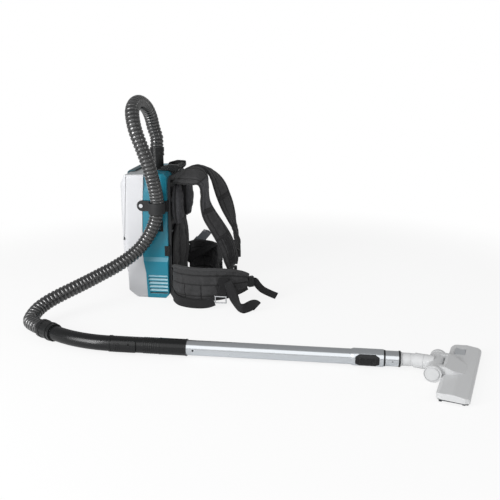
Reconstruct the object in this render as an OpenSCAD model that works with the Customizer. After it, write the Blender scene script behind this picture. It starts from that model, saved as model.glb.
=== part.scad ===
/* [Casing] */
// Width of the casing at its foot
case_w = 230; // [222:1:240]
// Depth of the casing, from the rear face to the back plate
case_d = 136; // [130:1:144]
// Height of the casing at the wearer's side
case_h = 360; // [352:1:372]
// Wall of the moulded shells
wall = 3; // [2.4:0.2:3.6]
// Height of the shelf between the fan space and the bag space
shelf_z = 168; // [164:1:170]
// Height of the ledge where the lower part steps out
ledge_z = 110; // [104:1:114]
// Fall of the roof towards the rear
roof_fall = 4; // [2:1:8]

/* [Bag cover] */
// Height of the cover's hinge line
hinge_z = 173; // [172:1:176]
// Radius of the cover's hinge pins
hinge_pin_r = 1.5; // [1.2:0.1:1.8]
// Width of the cover's latch
latch_w = 110; // [80:5:130]

/* [Louvres] */
// Number of louvres on each side
louvre_count = 5; // [4:1:6]
// Spacing of the louvres
louvre_pitch = 10.6; // [9:0.2:11]
// Height of the lowest louvre
louvre_z = 20; // [18:1:24]

/* [Carry handle] */
// Distance between the handle's arms, outside
carry_w = 100; // [90:2:116]
// Reach of the handle from its pivots to its bar
carry_reach = 42; // [38:1:56]
// Radius of the handle's grip bar
carry_r = 8; // [6.5:0.5:8.5]

/* [Batteries] */
// Width of a battery pack
pack_w = 74; // [70:1:76]
// Height of a battery pack without its shoe
pack_h = 58; // [54:1:60]
// Length of a battery pack
pack_l = 106; // [96:1:108]
// Distance between the two packs
pack_gap = 8; // [6:1:12]

/* [Fan unit] */
// Radius of the fan housing
fan_r = 50; // [44:1:54]
// Height of the fan housing
fan_h = 32; // [28:1:34]
// Radius of the motor
motor_r = 32; // [28:1:36]
// Radius of the motor shaft
shaft_r = 3; // [2.5:0.25:4]
// Number of fan blades
blade_count = 9; // [7:1:11]

/* [Hose] */
// Outer diameter of the ribbed hose
hose_d = 38; // [36:0.5:40]
// Diameter of the hose's bore
hose_bore = 29; // [27:0.5:30]
// Spacing of the hose's ribs
rib_pitch = 10.5; // [9.5:0.5:13]
// Outer diameter of the cuff at the casing
inlet_cuff_d = 41; // [41:0.5:44]
// Outer diameter of the cuff at the handle
handle_cuff_d = 46; // [44:0.5:48]
// Radius of the spigots that the cuffs turn on
spigot_r = 17; // [16.5:0.1:17.4]

/* [Wand] */
// Outer diameter of the outer tube
tube_d = 35; // [34:0.5:36]
// Outer diameter of the inner tube
inner_d = 32; // [31:0.25:32.5]
// Wall of both tubes
tube_wall = 1.1; // [0.9:0.1:1.4]
// Length of the outer tube that shows
tube_len = 374; // [340:2:420]
// Length of the lock collar
collar_len = 71; // [66:1:80]
// Length of the inner tube's end sleeve
sleeve_len = 29; // [24:1:36]
// Height of the wand's axis above the floor
wand_z = 24; // [24:1:27]
// Outer diameter of the handle's pipe
handle_d = 37; // [36:0.5:39]
// Bend of the handle
handle_bend = 32; // [28:1:36]
// Radius of the handle's bend
handle_r = 300; // [280:5:320]

/* [Floor nozzle] */
// Width of the floor nozzle
nozzle_w = 271; // [240:1:290]
// Depth of the floor nozzle
nozzle_d = 68; // [64:1:76]
// Angle between the nozzle and the wand
nozzle_yaw = 15; // [10:1:20]
// Radius of the rear wheels
wheel_r = 19; // [18:0.5:21]
// Width of the rear wheels
wheel_w = 9.5; // [8:0.5:12]
// Outer radius of the neck pipe
neck_r = 14.5; // [14:0.1:14.8]

/* [Harness] */
// Thickness of the shoulder straps
strap_t = 14; // [11:1:16]
// Thickness of the waist pads
waist_t = 15; // [12:1:17]
// Thickness of the webbing
web_t = 2; // [1.6:0.1:2.4]

/* [Hidden] */

$fn = 64;
// Slack between parts that are moved against each other
run_gap = 0.3;
// Radial clearance of a running fit
fit_gap = 0.08;
// Overlap of a cut past a face
cut = 1;

// ---- Casing places ----
front_x = 62;
rear_x = front_x - case_d;
half_w = case_w / 2;
waist_half = half_w - 4;
white_half = half_w - 2;
roof_rear_z = case_h - roof_fall;
crown_x = rear_x + 17;
foot_x = rear_x + 18;
base_x = rear_x + 46;
seam_top_x = 0;
roof_slope = atan(roof_fall / (front_x - 9 - crown_x));
cover_edge_x = rear_x + 23;
pivot = [rear_x + 6.6, hinge_z];
barrel_r = hinge_pin_r + 1.9;
ear_y = 52;
barrel_len = 11.4;
ear_w = 6;

// ---- Inlet and hose places ----
inlet_x = 10;
inlet_top = case_h + 37;
cuff_len = 23;
spigot_len = 12;
seat_len = 9;
spigot_bore = hose_bore / 2 + 0.5;
boss_r = 31;
pipe_r = 18;
band_z = 256;
band_h = 30;
band_t = 2.4;
stud_x = -10;

// ---- Wand places ----
wand_y = -503;
grip_x0 = 20;
ring_x = 136;
ring_len = 5;
tube_x0 = 202;
tube_x1 = tube_x0 + tube_len;
collar_x1 = tube_x1 + collar_len;
end_ring = 4;
sleeve_x0 = collar_x1 + end_ring;
sleeve_x1 = sleeve_x0 + sleeve_len;
neck_x0 = sleeve_x1 + end_ring;
bend_x = neck_x0 + 26;
handle_cuff_at = 8;
handle_cuff_len = 38;
bend_end = [grip_x0 - handle_r * sin(handle_bend), wand_y + handle_r * (1 - cos(handle_bend)), wand_z];
back_dir = [-cos(handle_bend), sin(handle_bend), 0];
telescope = 300;

// ---- Nozzle places ----
swivel_at = 25;
elbow_r = 40;
elbow_at = elbow_r * tan(nozzle_yaw / 2);
axle_at = 51;
axle_drop = wand_z - wheel_r;
arm_y = 27;
arm_t = 11;
yoke_half = arm_y - run_gap;
head_x0 = 18;
head_x1 = head_x0 + nozzle_d;
sole_z = 3;
shell_z = 7;
head_top = 20;

// ---- Small functions ----
function unit(v) = v / norm(v);
function flat(lists) = [for (list = lists) for (item = list) item];

// One corner of an outline, rounded to radius r
function corner(a, b, c, r, n = 6) =
    let (u = unit(a - b), v = unit(c - b), half = acos(u * v) / 2, turn = 180 - 2 * half,
         mid = b + unit(u + v) * r / sin(half), s = b + u * r / tan(half) - mid,
         e = b + v * r / tan(half) - mid)
    r <= 0 ? [b]
           : [for (k = [0:n]) mid + (s * sin(turn * (1 - k / n)) + e * sin(turn * k / n)) / sin(turn)];

// Outline from corner points [x, y, radius]
function rounded(p) =
    let (n = len(p), q = [for (v = p) [v.x, v.y]])
    flat([for (i = [0:n - 1]) corner(q[(i + n - 1) % n], q[i], q[(i + 1) % n], p[i].z)]);

// Point on a smooth curve through p, between p[i] and p[i + 1]
function curve_at(p, i, t) =
    let (a = p[max(i - 1, 0)], b = p[i], c = p[i + 1], d = p[min(i + 2, len(p) - 1)])
    0.5 * ((2 * b) + (c - a) * t + (2 * a - 5 * b + 4 * c - d) * t * t
           + (3 * b - a - 3 * c + d) * t * t * t);
function smooth(p, n) =
    concat([for (i = [0:len(p) - 2]) for (k = [0:n - 1]) curve_at(p, i, k / n)], [p[len(p) - 1]]);

// Length along a polyline up to each of its points
function run_length(p) = [for (i = 0, s = 0; i < len(p); s = s + (i < len(p) - 1 ? norm(p[i + 1] - p[i]) : 0),
                               i = i + 1) s];
function tangent(p, i) = unit(p[min(i + 1, len(p) - 1)] - p[max(i - 1, 0)]);

// Ring of points about a centre, in the plane across direction t, with w as its first axis
function ring(centre, t, w, section) =
    let (u = unit(w - (w * t) * t), v = cross(t, u))
    [for (s = section) centre + u * s.x + v * s.y];
function circle_section(r, n) = [for (i = [0:n - 1]) r * [cos(i * 360 / n), sin(i * 360 / n)]];

// Padded section: crowned faces, thin rounded edges and a sewn channel at each share in seams
function pinch(x, seams) = min([for (s = concat(seams, [9])) min(1, 0.45 + 5 * abs(x - s))]);
function pad_section(a, t, n, seams = []) =
    [for (i = [0:n - 1])
        let (c = cos(i * 360 / n + 360 / n / 2), s = sin(i * 360 / n + 360 / n / 2),
             x = sign(c) * pow(abs(c), 0.75))
        [a * x, t / 2 * sign(s) * pow(abs(s), 0.8) * pinch(x, seams)]];

// ---- Solids from rings ----
module loft(rings) {
    n = len(rings[0]);
    m = len(rings);
    first = [for (k = [0:2]) [for (p = rings[0]) p[k]] * [for (i = [1:n]) 1] / n];
    last = [for (k = [0:2]) [for (p = rings[m - 1]) p[k]] * [for (i = [1:n]) 1] / n];
    side = [for (j = [0:m - 2]) for (i = [0:n - 1])
               let (a = j * n + i, b = j * n + (i + 1) % n) each [[a, a + n, b + n], [a, b + n, b]]];
    start = [for (i = [0:n - 1]) [n * m, i, (i + 1) % n]];
    end = [for (i = [0:n - 1]) [n * m + 1, n * (m - 1) + (i + 1) % n, n * (m - 1) + i]];
    polyhedron(concat(flat(rings), [first, last]), concat(side, start, end), convexity = 10);
}

module bored_loft(outer, inner) {
    n = len(outer[0]);
    m = len(outer);
    k = len(inner);
    base = n * m;
    tip = base + n * (k - 1);
    skin = [for (j = [0:m - 2]) for (i = [0:n - 1])
               let (a = j * n + i, b = j * n + (i + 1) % n) each [[a, a + n, b + n], [a, b + n, b]]];
    bore = [for (j = [0:k - 2]) for (i = [0:n - 1])
               let (a = base + j * n + i, b = base + j * n + (i + 1) % n)
               each [[a, b + n, a + n], [a, b, b + n]]];
    start = [for (i = [0:n - 1]) let (j = (i + 1) % n)
                each [[i, j, base + j], [i, base + j, base + i]]];
    end = [for (i = [0:n - 1]) let (j = (i + 1) % n, o = n * (m - 1))
              each [[o + i, tip + j, o + j], [o + i, tip + i, tip + j]]];
    polyhedron(concat(flat(outer), flat(inner)), concat(skin, bore, start, end), convexity = 20);
}

// Padded strip through stations [x, y, z, half width, thickness, width direction x, y, z]
module padded_strip(stations, steps, sides, seams = []) {
    s = smooth(stations, steps);
    p = [for (q = s) [q[0], q[1], q[2]]];
    loft([for (i = [0:len(s) - 1])
             ring(p[i], tangent(p, i), [s[i][5], s[i][6], s[i][7]],
                  pad_section(s[i][3], s[i][4], sides, seams))]);
}

// Flat webbing through points, with one width direction per point
module web_strip(points, widths, w, steps = 3) {
    s = smooth([for (i = [0:len(points) - 1]) concat(points[i], widths[i])], steps);
    p = [for (q = s) [q[0], q[1], q[2]]];
    box = [[w / 2, web_t / 2], [-w / 2, web_t / 2], [-w / 2, -web_t / 2], [w / 2, -web_t / 2]];
    loft([for (i = [0:len(s) - 1]) ring(p[i], tangent(p, i), [s[i][3], s[i][4], s[i][5]], box)]);
}

module along_x(x0, x1, r) {
    translate([x0, 0, 0]) rotate([0, 90, 0]) cylinder(h = x1 - x0, r = r);
}
module along_y(y0, y1, r) {
    translate([0, y0, 0]) rotate([-90, 0, 0]) cylinder(h = y1 - y0, r = r);
}
// Outline in X and Z, extruded along Y
module side_slab(points, y0, y1) {
    translate([0, y1, 0]) rotate([90, 0, 0]) linear_extrude(y1 - y0) polygon(points);
}
// Outline in Y and Z, extruded along X
module front_slab(points, x0, x1) {
    translate([x0, 0, 0]) rotate([90, 0, 90]) linear_extrude(x1 - x0) polygon(points);
}
module mirror_y() {
    children();
    mirror([0, 1, 0]) children();
}
module block(low, high) {
    translate(low) cube(high - low);
}

// ---- Casing forms ----
// Side outline of the casing, drawn in by i
function side_outline(i) = rounded([
    [crown_x + 0.6 * i, roof_rear_z - i, 6], [rear_x + 1.5 + i, roof_rear_z - 31 - 0.5 * i, 14],
    [rear_x + i, 250, 60], [rear_x + 5 + i, 112, 16], [foot_x - 1 + i, 74, 12],
    [foot_x + i, 22 + i, 3], [foot_x + 7 + i, 16 + i, 3], [base_x + i, i, 4],
    [front_x - 11 - i, i, 3], [front_x - i, 12 + i, 4], [front_x - i, case_h - 9 - i, 4],
    [front_x - 9 - i, case_h - i, 5]]);
function plan_outline(half, i) = rounded([
    [rear_x + i, -half + i, 24 - i], [front_x - i, -half + i, 3],
    [front_x - i, half - i, 3], [rear_x + i, half - i, 24 - i]]);
function straight_front(half, i) = rounded([
    [-half + i, i, 6], [half - i, i, 6], [half - i, case_h - i, 9], [-half + i, case_h - i, 9]]);
// Front outline of the teal half, with the ledge and the shoulder step
function stepped_front(i) = rounded([
    [-half_w + i, i, 6], [half_w - i, i, 6], [half_w - i, ledge_z, 1],
    [waist_half - i, ledge_z + 12, 1], [waist_half - i, case_h - 48, 1], [waist_half - 3 - i, case_h - 34, 1],
    [waist_half - 3 - i, case_h - i, 9], [-waist_half + 3 + i, case_h - i, 9],
    [-waist_half + 3 + i, case_h - 34, 1], [-waist_half + i, case_h - 48, 1],
    [-waist_half + i, ledge_z + 12, 1],
    [-half_w + i, ledge_z, 1]]);
// Front outline of the hollow: straight sides that follow the shoulder step
function hollow_front() = rounded([
    [wall - waist_half, wall, 6], [waist_half - wall, wall, 6], [waist_half - wall, case_h - 48, 1],
    [waist_half - 3 - wall, case_h - 34, 1], [waist_half - 3 - wall, case_h - wall, 9],
    [3 + wall - waist_half, case_h - wall, 9], [3 + wall - waist_half, case_h - 34, 1],
    [wall - waist_half, case_h - 48, 1]]);
// Region in front of the seam between the two halves
seam = [[200, -20], [200, case_h + 20], [seam_top_x, case_h + 20], [-8, 250], [-12.5, 130],
        [-9.5, ledge_z], [-3.5, 75], [0, -20]];
// Region that the bag cover fills, let out by g
function cover_zone(g) = [
    [-200, hinge_z - 3.4 - g], [pivot.x - 1 + g, hinge_z - 3.4 - g], [rear_x + 11 + g, hinge_z + 13],
    [cover_edge_x + g, roof_rear_z - 2], [cover_edge_x + g, case_h + 20], [-200, case_h + 20]];

module case_form(front, half, i) {
    intersection() {
        side_slab(side_outline(i), -half_w, half_w);
        linear_extrude(case_h + 10) polygon(plan_outline(half, i));
        front_slab(front, rear_x - cut, front_x + cut);
    }
}
module in_front_of_seam() {
    side_slab(seam, -half_w - cut, half_w + cut);
}
// The hollow inside both halves: bag space above the shelf, fan and battery space below it
module case_hollow() {
    difference() {
        case_form(hollow_front(), waist_half, wall);
        block([rear_x - cut, -half_w, shelf_z], [front_x + cut, half_w, shelf_z + wall]);
    }
}
module inlet_hole() {
    translate([inlet_x, 0, 300]) cylinder(h = 100, r = boss_r + 0.1);
}
module shelf_hole() {
    translate([0, 0, shelf_z - cut]) cylinder(h = wall + 2 * cut, r = 34);
}
module pack_hole(extra) {
    mirror_y() block([rear_x - 20, pack_gap / 2 - extra, 18 - extra],
                     [base_x + 40, pack_gap / 2 + pack_w + extra, 18 + pack_h + 12 + extra]);
}
module relief() {
    translate([pivot.x, 0, pivot.y]) along_y(-half_w - cut, half_w + cut, 6.2);
}
module screw_places() {
    for (y = [-70, 70], z = [40, 190, 300]) translate([front_x, y, z]) children();
}
// Slanted louvre window, cut through the side wall
louvre_top = louvre_z + (louvre_count - 1) * louvre_pitch + 7;
louvre_window = rounded([[6.5, louvre_z - 6, 1.5], [59, louvre_z - 6, 1.5], [59, louvre_top, 1.5],
                         [2, louvre_top, 1.5]]);
module louvre_blade(z) {
    front_slab([[half_w - 7.4, z + 6.4], [half_w - 7.4, z + 4.2], [half_w - 0.4, z - 1.2],
                [half_w - 0.4, z + 2.6], [half_w - 2.4, z + 3.6]], 0, 59.5);
}

module main_housing() color("#1d7286") {
    difference() {
        intersection() {
            case_form(stepped_front(0), half_w, 0);
            in_front_of_seam();
        }
        case_hollow();
        inlet_hole();
        shelf_hole();
        mirror_y() side_slab(louvre_window, half_w - 20, half_w + cut);
        // Seat of the power switch
        translate([36, -waist_half, 215]) block([-14.2, -cut, -17.2], [14.2, wall + 2 * cut, 17.2]);
        mirror_y() block([clip_x - 0.1, waist_half - 8, 125.9], [front_x + cut, half_w, 156.1]);
        screw_places() along_x(-wall - cut, cut, 2.2);
    }
    difference() {
        mirror_y() for (k = [0:louvre_count - 1]) louvre_blade(louvre_z + k * louvre_pitch);
        mirror_y() side_slab([[-20, -20], [5.5, louvre_z - 6], [1, louvre_top], [-20, 100]],
                             half_w - 20, half_w + cut);
    }
}

module rear_frame() color("#e9ebea") {
    difference() {
        case_form(straight_front(white_half, 0), white_half, 0);
        in_front_of_seam();
        case_hollow();
        inlet_hole();
        shelf_hole();
        pack_hole(0.8);
        side_slab(cover_zone(0.5), -half_w - cut, half_w + cut);
        relief();
        roof_zone(0);
    }
    // Ears that hold the cover's pins
    mirror_y() for (y = [ear_y, ear_y + ear_w + barrel_len + 2 * run_gap])
        difference() {
            union() {
                block([rear_x + 4, y, hinge_z - 13], [pivot.x + 3.4, y + ear_w, hinge_z]);
                translate([pivot.x, y, pivot.y]) along_y(0, ear_w, barrel_r);
            }
            translate([pivot.x, y, pivot.y]) along_y(-cut, ear_w + cut, hinge_pin_r);
        }
    // Stud for the end of the hose band
    translate([stud_x, -white_half - 4.4, band_z + band_h / 2]) along_y(0, 4.6, 4);
    translate([stud_x, -white_half - 5.6, band_z + band_h / 2]) along_y(0, 1.4, 5.6);
}

// The roof's top skin over the white half
module roof_zone(drop) {
    translate([crown_x, 0, roof_rear_z - 4 - drop]) rotate([0, -roof_slope, 0])
        block([cover_edge_x - crown_x + 2, -white_half + 8, 0],
              [seam_top_x - crown_x - 0.6, white_half - 8, 30]);
}
module roof_panel() color("#a3a7a8") {
    difference() {
        intersection() {
            case_form(straight_front(white_half, 0), white_half, 0);
            roof_zone(0);
        }
        in_front_of_seam();
        inlet_hole();
    }
}

module bag_cover() color("#eceeed") {
    difference() {
        intersection() {
            case_form(straight_front(white_half, 0), white_half, 0);
            side_slab(cover_zone(0), -half_w, half_w);
        }
        case_form(straight_front(white_half, wall), white_half, wall);
        mirror_y() block([rear_x - cut, ear_y - 0.9, hinge_z - 10],
                         [pivot.x + 8, ear_y + 2 * ear_w + barrel_len + 1.5, hinge_z + 6]);
    }
    mirror_y() difference() {
        union() {
            translate([pivot.x, barrel_y, pivot.y]) along_y(0, barrel_len, barrel_r);
            block([rear_x + 3.4, barrel_y, hinge_z], [pivot.x + 2, barrel_y + barrel_len, hinge_z + 8]);
        }
        translate([pivot.x, barrel_y, pivot.y]) along_y(-cut, barrel_len + cut, hinge_pin_r + fit_gap);
    }
    // Pivot lugs of the latch
    mirror_y() difference() {
        translate([latch_x, latch_w / 2 + run_gap, roof_rear_z - 9])
            block([-4, 0, -5], [4, 5, 6]);
        translate([latch_x, latch_w / 2, roof_rear_z - 9]) along_y(-cut, 8, hinge_pin_r + fit_gap);
        case_outside_cut();
    }
}
barrel_y = ear_y + ear_w + run_gap;
// Everything outside the white casing form, to trim small lugs
module case_outside_cut() {
    difference() {
        block([rear_x - 20, -half_w - 20, roof_rear_z - 60], [crown_x + 4, half_w + 20, case_h + 20]);
        side_slab(side_outline(0.4), -half_w, half_w);
    }
}

latch_x = crown_x - 7.4;
module cover_seal() color("#3a3d40") {
    difference() {
        intersection() {
            case_form(straight_front(white_half, wall), white_half, wall);
            side_slab([[rear_x, hinge_z + 12], [rear_x + 9, hinge_z + 20],
                       [cover_edge_x - 6, roof_rear_z - 24], [rear_x, roof_rear_z - 30]], -half_w, half_w);
        }
        case_form(straight_front(white_half, wall + 4), white_half, wall + 4);
        block([rear_x - cut, -half_w + 20, hinge_z + 20], [front_x, half_w - 20, roof_rear_z - 38]);
    }
}

module cover_pins() color("#b9bcbf") {
    mirror_y() translate([pivot.x, ear_y - 0.5, pivot.y])
        along_y(0, 2 * ear_w + barrel_len + 2 * run_gap + 1, hinge_pin_r);
}

module cover_latch() color("#23414b") {
    difference() {
        union() {
            side_slab([[crown_x - 9, roof_rear_z - 9], [crown_x - 3, roof_rear_z - 9],
                       [crown_x - 1.2, roof_rear_z + 0.8], [crown_x + 16, roof_rear_z + 2.9],
                       [crown_x + 16, roof_rear_z + 5.4], [crown_x - 2, roof_rear_z + 4.4],
                       [crown_x - 6, roof_rear_z + 1]], -latch_w / 2, latch_w / 2);
            translate([latch_x, 0, roof_rear_z - 9]) {
                along_y(-latch_w / 2, latch_w / 2, 2.1);
                along_y(-latch_w / 2 - 4, latch_w / 2 + 4, hinge_pin_r);
            }
        }
        latch_inside();
    }
}
// Space of the cover's slanted crown under the latch, with clearance
module latch_inside() {
    side_slab([[crown_x - 0.4, roof_rear_z + 0.5], [rear_x + 0.5, roof_rear_z - 35],
               [rear_x + 20, roof_rear_z - 40], [crown_x + 30, roof_rear_z - 10]],
              -latch_w / 2 - 0.5, latch_w / 2 + 0.5);
}

module back_plate() color("#232527") {
    top = case_h - 11;
    plate = rounded([[-104, 12, 18], [104, 12, 18], [98, top, 26], [-98, top, 26]]);
    inner = rounded([[-97, 20, 14], [97, 20, 14], [91, top - 8, 20], [-91, top - 8, 20]]);
    difference() {
        union() {
            front_slab(plate, front_x, front_x + 4);
            difference() {
                front_slab(plate, front_x + 4, front_x + 7);
                front_slab(inner, front_x + 3, front_x + 8);
            }
            // Seats of the oval pads
            mirror_y() front_slab(rounded([[42, 220, 16], [90, 220, 16], [90, 318, 16], [42, 318, 16]]),
                                  front_x + 3, front_x + 7);
        }
        screw_places() along_x(4, 8, 4.6);
        screw_places() along_x(-cut, 8, 2.2);
        // Slots for the webbing
        mirror_y() block([front_x - cut, 50, 331], [front_x + 9, 80, 336]);
        mirror_y() block([front_x - cut, 88, 44], [front_x + 9, 94, 74]);
    }
    for (y = [-30, 0, 30]) block([front_x + 4, y - 2, 24], [front_x + 6.5, y + 2, 336]);
    handle_saddle();
}

clip_x = front_x - 10;
module plate_clips() color("#1b1c1e") {
    mirror_y() {
        block([clip_x, waist_half - 8 + 0.1, 126], [front_x + 4, waist_half - 0.2, 156]);
        for (z = [130:5:152]) block([clip_x + 1, waist_half - 0.2, z], [clip_x + 8, waist_half + 0.6, z + 2]);
    }
}

// Bail handle, folded towards the wearer, its arms pivoted on two lugs on the roof
carry_x = 38;
carry_z = case_h + 5.8;
carry_arm = carry_w / 2 - 9;
module carry_lugs() {
    mirror_y() translate([carry_x, carry_arm - run_gap - 7, carry_z]) difference() {
        union() {
            along_y(0, 7, 5);
            block([-5, 0, -3.4], [5, 7, 0]);
        }
        along_y(-cut, 8, 2.5 + fit_gap);
    }
}
// Bridge that runs from the back plate over the edge of the roof, under the handle
module handle_saddle() {
    saddle_half = carry_arm - run_gap;
    difference() {
        side_slab([[22, case_h + run_gap], [22, case_h + 2.6], [front_x - 7, case_h + 2.6],
                   [front_x + 4, case_h - 8], [front_x + 4, case_h - 18], [front_x, case_h - 18],
                   [front_x, case_h - 8.4], [front_x - 8.4, case_h + run_gap]], -saddle_half, saddle_half);
        translate([inlet_x, 0, case_h - cut]) cylinder(h = 8, r = boss_r + 0.6);
    }
    carry_lugs();
}
module carry_handle() color("#1c1d1f") {
    tip = carry_x + carry_reach;
    mirror_y() {
        side_slab(rounded([[carry_x - 5.3, carry_z - 5.3, 4.4], [carry_x + 14, carry_z - 5, 3],
                           [tip - 4, carry_z - 5, 3], [tip + 4, carry_z - 4.4, 3.6],
                           [tip + 3.6, carry_z + 11, 4.4], [tip - 22, carry_z + 12, 8],
                           [carry_x - 5.3, carry_z + 5.3, 4.4]]), carry_arm, carry_arm + 9);
        translate([carry_x, carry_arm - 7, carry_z]) along_y(0, 9, 2.5);
    }
    translate([tip - 4, 0, carry_z]) along_y(-carry_arm - 9, carry_arm + 9, carry_r);
    for (y = [-34:8.5:34]) translate([tip - 4, y, carry_z]) along_y(-1.6, 1.6, carry_r + 0.8);
}

module switch_bezel() color("#26282a") {
    translate([36, -waist_half, 215]) difference() {
        block([-14, -1.6, -17], [14, 5, 17]);
        block([-9.4, -3, -12.4], [9.4, 6, 12.4]);
        translate([0, 1, 0]) rotate([0, 90, 0]) cylinder(h = 22.4, r = 1.5, center = true);
    }
}
module power_switch() color("#3b3e41") {
    translate([36, -waist_half, 215]) {
        rocker_cap();
        rotate([0, 90, 0]) translate([0, 1, 0]) cylinder(h = 22, r = 1.4, center = true);
    }
}
// Rocker cap: a shallow vee in Y and Z
module rocker_cap() {
    front_slab([[-1.4, -11.2], [-0.2, 0], [-2.8, 11.2], [3.6, 10.4], [3.6, -10.4]], -9, 9);
}

module housing_screws() color("#8d9195") {
    screw_places() {
        along_x(-wall - 4, 4, 1.9);
        difference() {
            along_x(4, 6.4, 4);
            translate([5.2, 0, 0]) for (a = [0, 90]) rotate([a, 0, 0]) block([0, -2.4, -0.5], [2, 2.4, 0.5]);
        }
    }
}

// Height of the collar that holds the bag's mouth
collar_z = case_h - 28;
module hose_inlet() color("#1d1e20") {
    translate([inlet_x, 0, 0]) difference() {
        union() {
            translate([0, 0, case_h - 16]) cylinder(h = 18, r = boss_r);
            translate([0, 0, case_h + 2]) cylinder(h = 4, r1 = boss_r - 2, r2 = pipe_r + 3);
            translate([0, 0, collar_z]) cylinder(h = inlet_top - collar_z, r = pipe_r);
            translate([0, 0, inlet_top]) cylinder(h = spigot_len, r = spigot_r);
        }
        translate([0, 0, collar_z - cut])
            cylinder(h = inlet_top - collar_z + spigot_len + 2 * cut, r = hose_bore / 2);
    }
}

module bag_collar() color("#4a4d50") {
    translate([inlet_x, 0, collar_z]) difference() {
        block([-44, -60, 0], [44, 60, 3]);
        translate([0, 0, -cut]) cylinder(h = 6, r = pipe_r);
    }
}

module dust_bag() color("#d9cfae") {
    s = [for (k = [0:8]) let (u = k / 8, f = pow(sin(20 + 140 * u), 0.5))
            [inlet_x - 10 - 4 * sin(180 * u), 0, 186 + (collar_z - 186.4) * u, 42 * f, 78 * f]];
    loft([for (q = s) [for (i = [0:15]) let (c = cos(i * 22.5), d = sin(i * 22.5))
             [q[0] + q[3] * sign(c) * pow(abs(c), 0.6), q[4] * sign(d) * pow(abs(d), 0.6), q[2]]]]);
}

module pre_filter() color("#5f6468") {
    translate([0, 0, shelf_z + wall]) difference() {
        block([-46, -46, 0], [46, 46, 9]);
        for (x = [-36:12:36]) block([x - 2, -40, 5], [x + 2, 40, 10]);
    }
}

fan_z = shelf_z - fan_h;
motor_z = fan_z - 38;
module fan_housing() color("#2d3033") {
    translate([0, 0, fan_z]) difference() {
        cylinder(h = fan_h, r = fan_r);
        translate([0, 0, 2.5]) cylinder(h = fan_h - 5, r = fan_r - 2.5);
        translate([0, 0, fan_h - 4]) cylinder(h = 6, r = 20);
        translate([0, 0, -cut]) cylinder(h = 6, r = 9);
        for (a = [0:30:330]) rotate([0, 0, a]) translate([fan_r, 0, 5]) block([-5, -6, 0], [4, 6, 10]);
    }
}
module impeller() color("#b4b8ba") {
    blade_r = fan_r - 6;
    translate([0, 0, fan_z + 5]) {
        difference() {
            union() {
                cylinder(h = 2, r = blade_r);
                cylinder(h = 16, r = 9);
                for (k = [0:blade_count - 1]) rotate([0, 0, k * 360 / blade_count])
                    intersection() {
                        translate([22, -26, 0]) difference() {
                            cylinder(h = 13, r = 33);
                            translate([0, 0, -cut]) cylinder(h = 16, r = 31.4);
                        }
                        block([4, -12, 1.5], [blade_r - 1, 30, 13]);
                    }
            }
            translate([0, 0, -cut]) cylinder(h = 20, r = shaft_r);
        }
    }
}
module motor_shaft() color("#c4c7ca") {
    translate([0, 0, motor_z + 4]) cylinder(h = fan_z + 22 - motor_z - 4, r = shaft_r);
}
module motor_can() color("#54585c") {
    difference() {
        union() {
            translate([0, 0, motor_z]) cylinder(h = fan_z - motor_z, r = motor_r);
            for (a = [0:30:330]) rotate([0, 0, a])
                block([motor_r - 1, -1.5, motor_z + 4], [motor_r + 2, 1.5, fan_z - 4]);
        }
        translate([0, 0, motor_z + 2]) cylinder(h = 40, r = shaft_r + fit_gap);
    }
}
module motor_mount() color("#1f2022") {
    translate([0, 0, motor_z - 4]) difference() {
        cylinder(h = 4, r = motor_r + 4);
        translate([0, 0, -cut]) cylinder(h = 6, r = motor_r - 8);
    }
}

module exhaust_filters() color("#3f4447") {
    mirror_y() difference() {
        block([0, half_w - 14, 13], [57, half_w - 7.6, 76]);
        for (x = [4:6:52]) block([x, half_w - 9.6, 14], [x + 2.5, half_w - 7, 72]);
    }
}
module control_board() color("#2f6b45") {
    block([front_x - wall - 4, -62, 22], [front_x - wall - 2, 62, 78]);
    for (y = [-50, -20, 12, 44]) block([front_x - wall - 8, y, 30], [front_x - wall - 4, y + 12, 44]);
    for (y = [-58, 58], z = [26, 74]) translate([front_x - wall - 2, y, z]) along_x(0, 2, 2);
}

pack_top = 18 + pack_h;
pack_x0 = foot_x - 1.5;
module battery_dock() color("#34373a") {
    mirror_y() translate([0, pack_gap / 2 + pack_w / 2, 0]) {
        block([pack_x0 + 12, -30, pack_top + 8.4], [base_x + 78, 30, motor_z - 4]);
        for (s = [-1, 1]) translate([0, s * 25, 0])
            block([pack_x0 + 12, -2.4, pack_top + 0.6], [base_x + 78, 2.4, pack_top + 8.4]);
    }
}
module battery_pack() {
    difference() {
        union() {
            translate([pack_x0, 0, 18]) rotate([0, 0, 0]) front_slab_at(rounded([
                [pack_gap / 2, 0, 6], [pack_gap / 2 + pack_w, 0, 6],
                [pack_gap / 2 + pack_w, pack_h, 3], [pack_gap / 2, pack_h, 3]]), pack_l);
            // Shoe that runs between the dock's rails
            translate([0, pack_gap / 2 + pack_w / 2, 0])
                block([pack_x0 + 14, -22, pack_top - 1], [pack_x0 + pack_l - 2, 22, pack_top + 7.6]);
        }
        translate([pack_x0, pack_gap / 2 + pack_w / 2, 18 + pack_h - 20])
            block([-cut, -16.3, -8.3], [9, 16.3, 8.3]);
        for (z = [26:6:44]) block([pack_x0 - cut, pack_gap / 2 + 10, z],
                                  [pack_x0 + 1, pack_gap / 2 + pack_w - 10, z + 2]);
    }
}
module front_slab_at(points, length) {
    rotate([90, 0, 90]) linear_extrude(length) polygon(points);
}
module pack_button() {
    translate([pack_x0, pack_gap / 2 + pack_w / 2, 18 + pack_h - 20]) {
        block([-0.6, -16, -8], [5, 16, 8]);
        for (z = [-5:2.5:5]) block([-1.2, -12, z - 0.5], [0, 12, z + 0.5]);
    }
}
module battery_right() color("#202224") mirror([0, 1, 0]) battery_pack();
module battery_left() color("#202224") battery_pack();
module battery_button_right() color("#b5262b") mirror([0, 1, 0]) pack_button();
module battery_button_left() color("#b5262b") pack_button();

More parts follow.
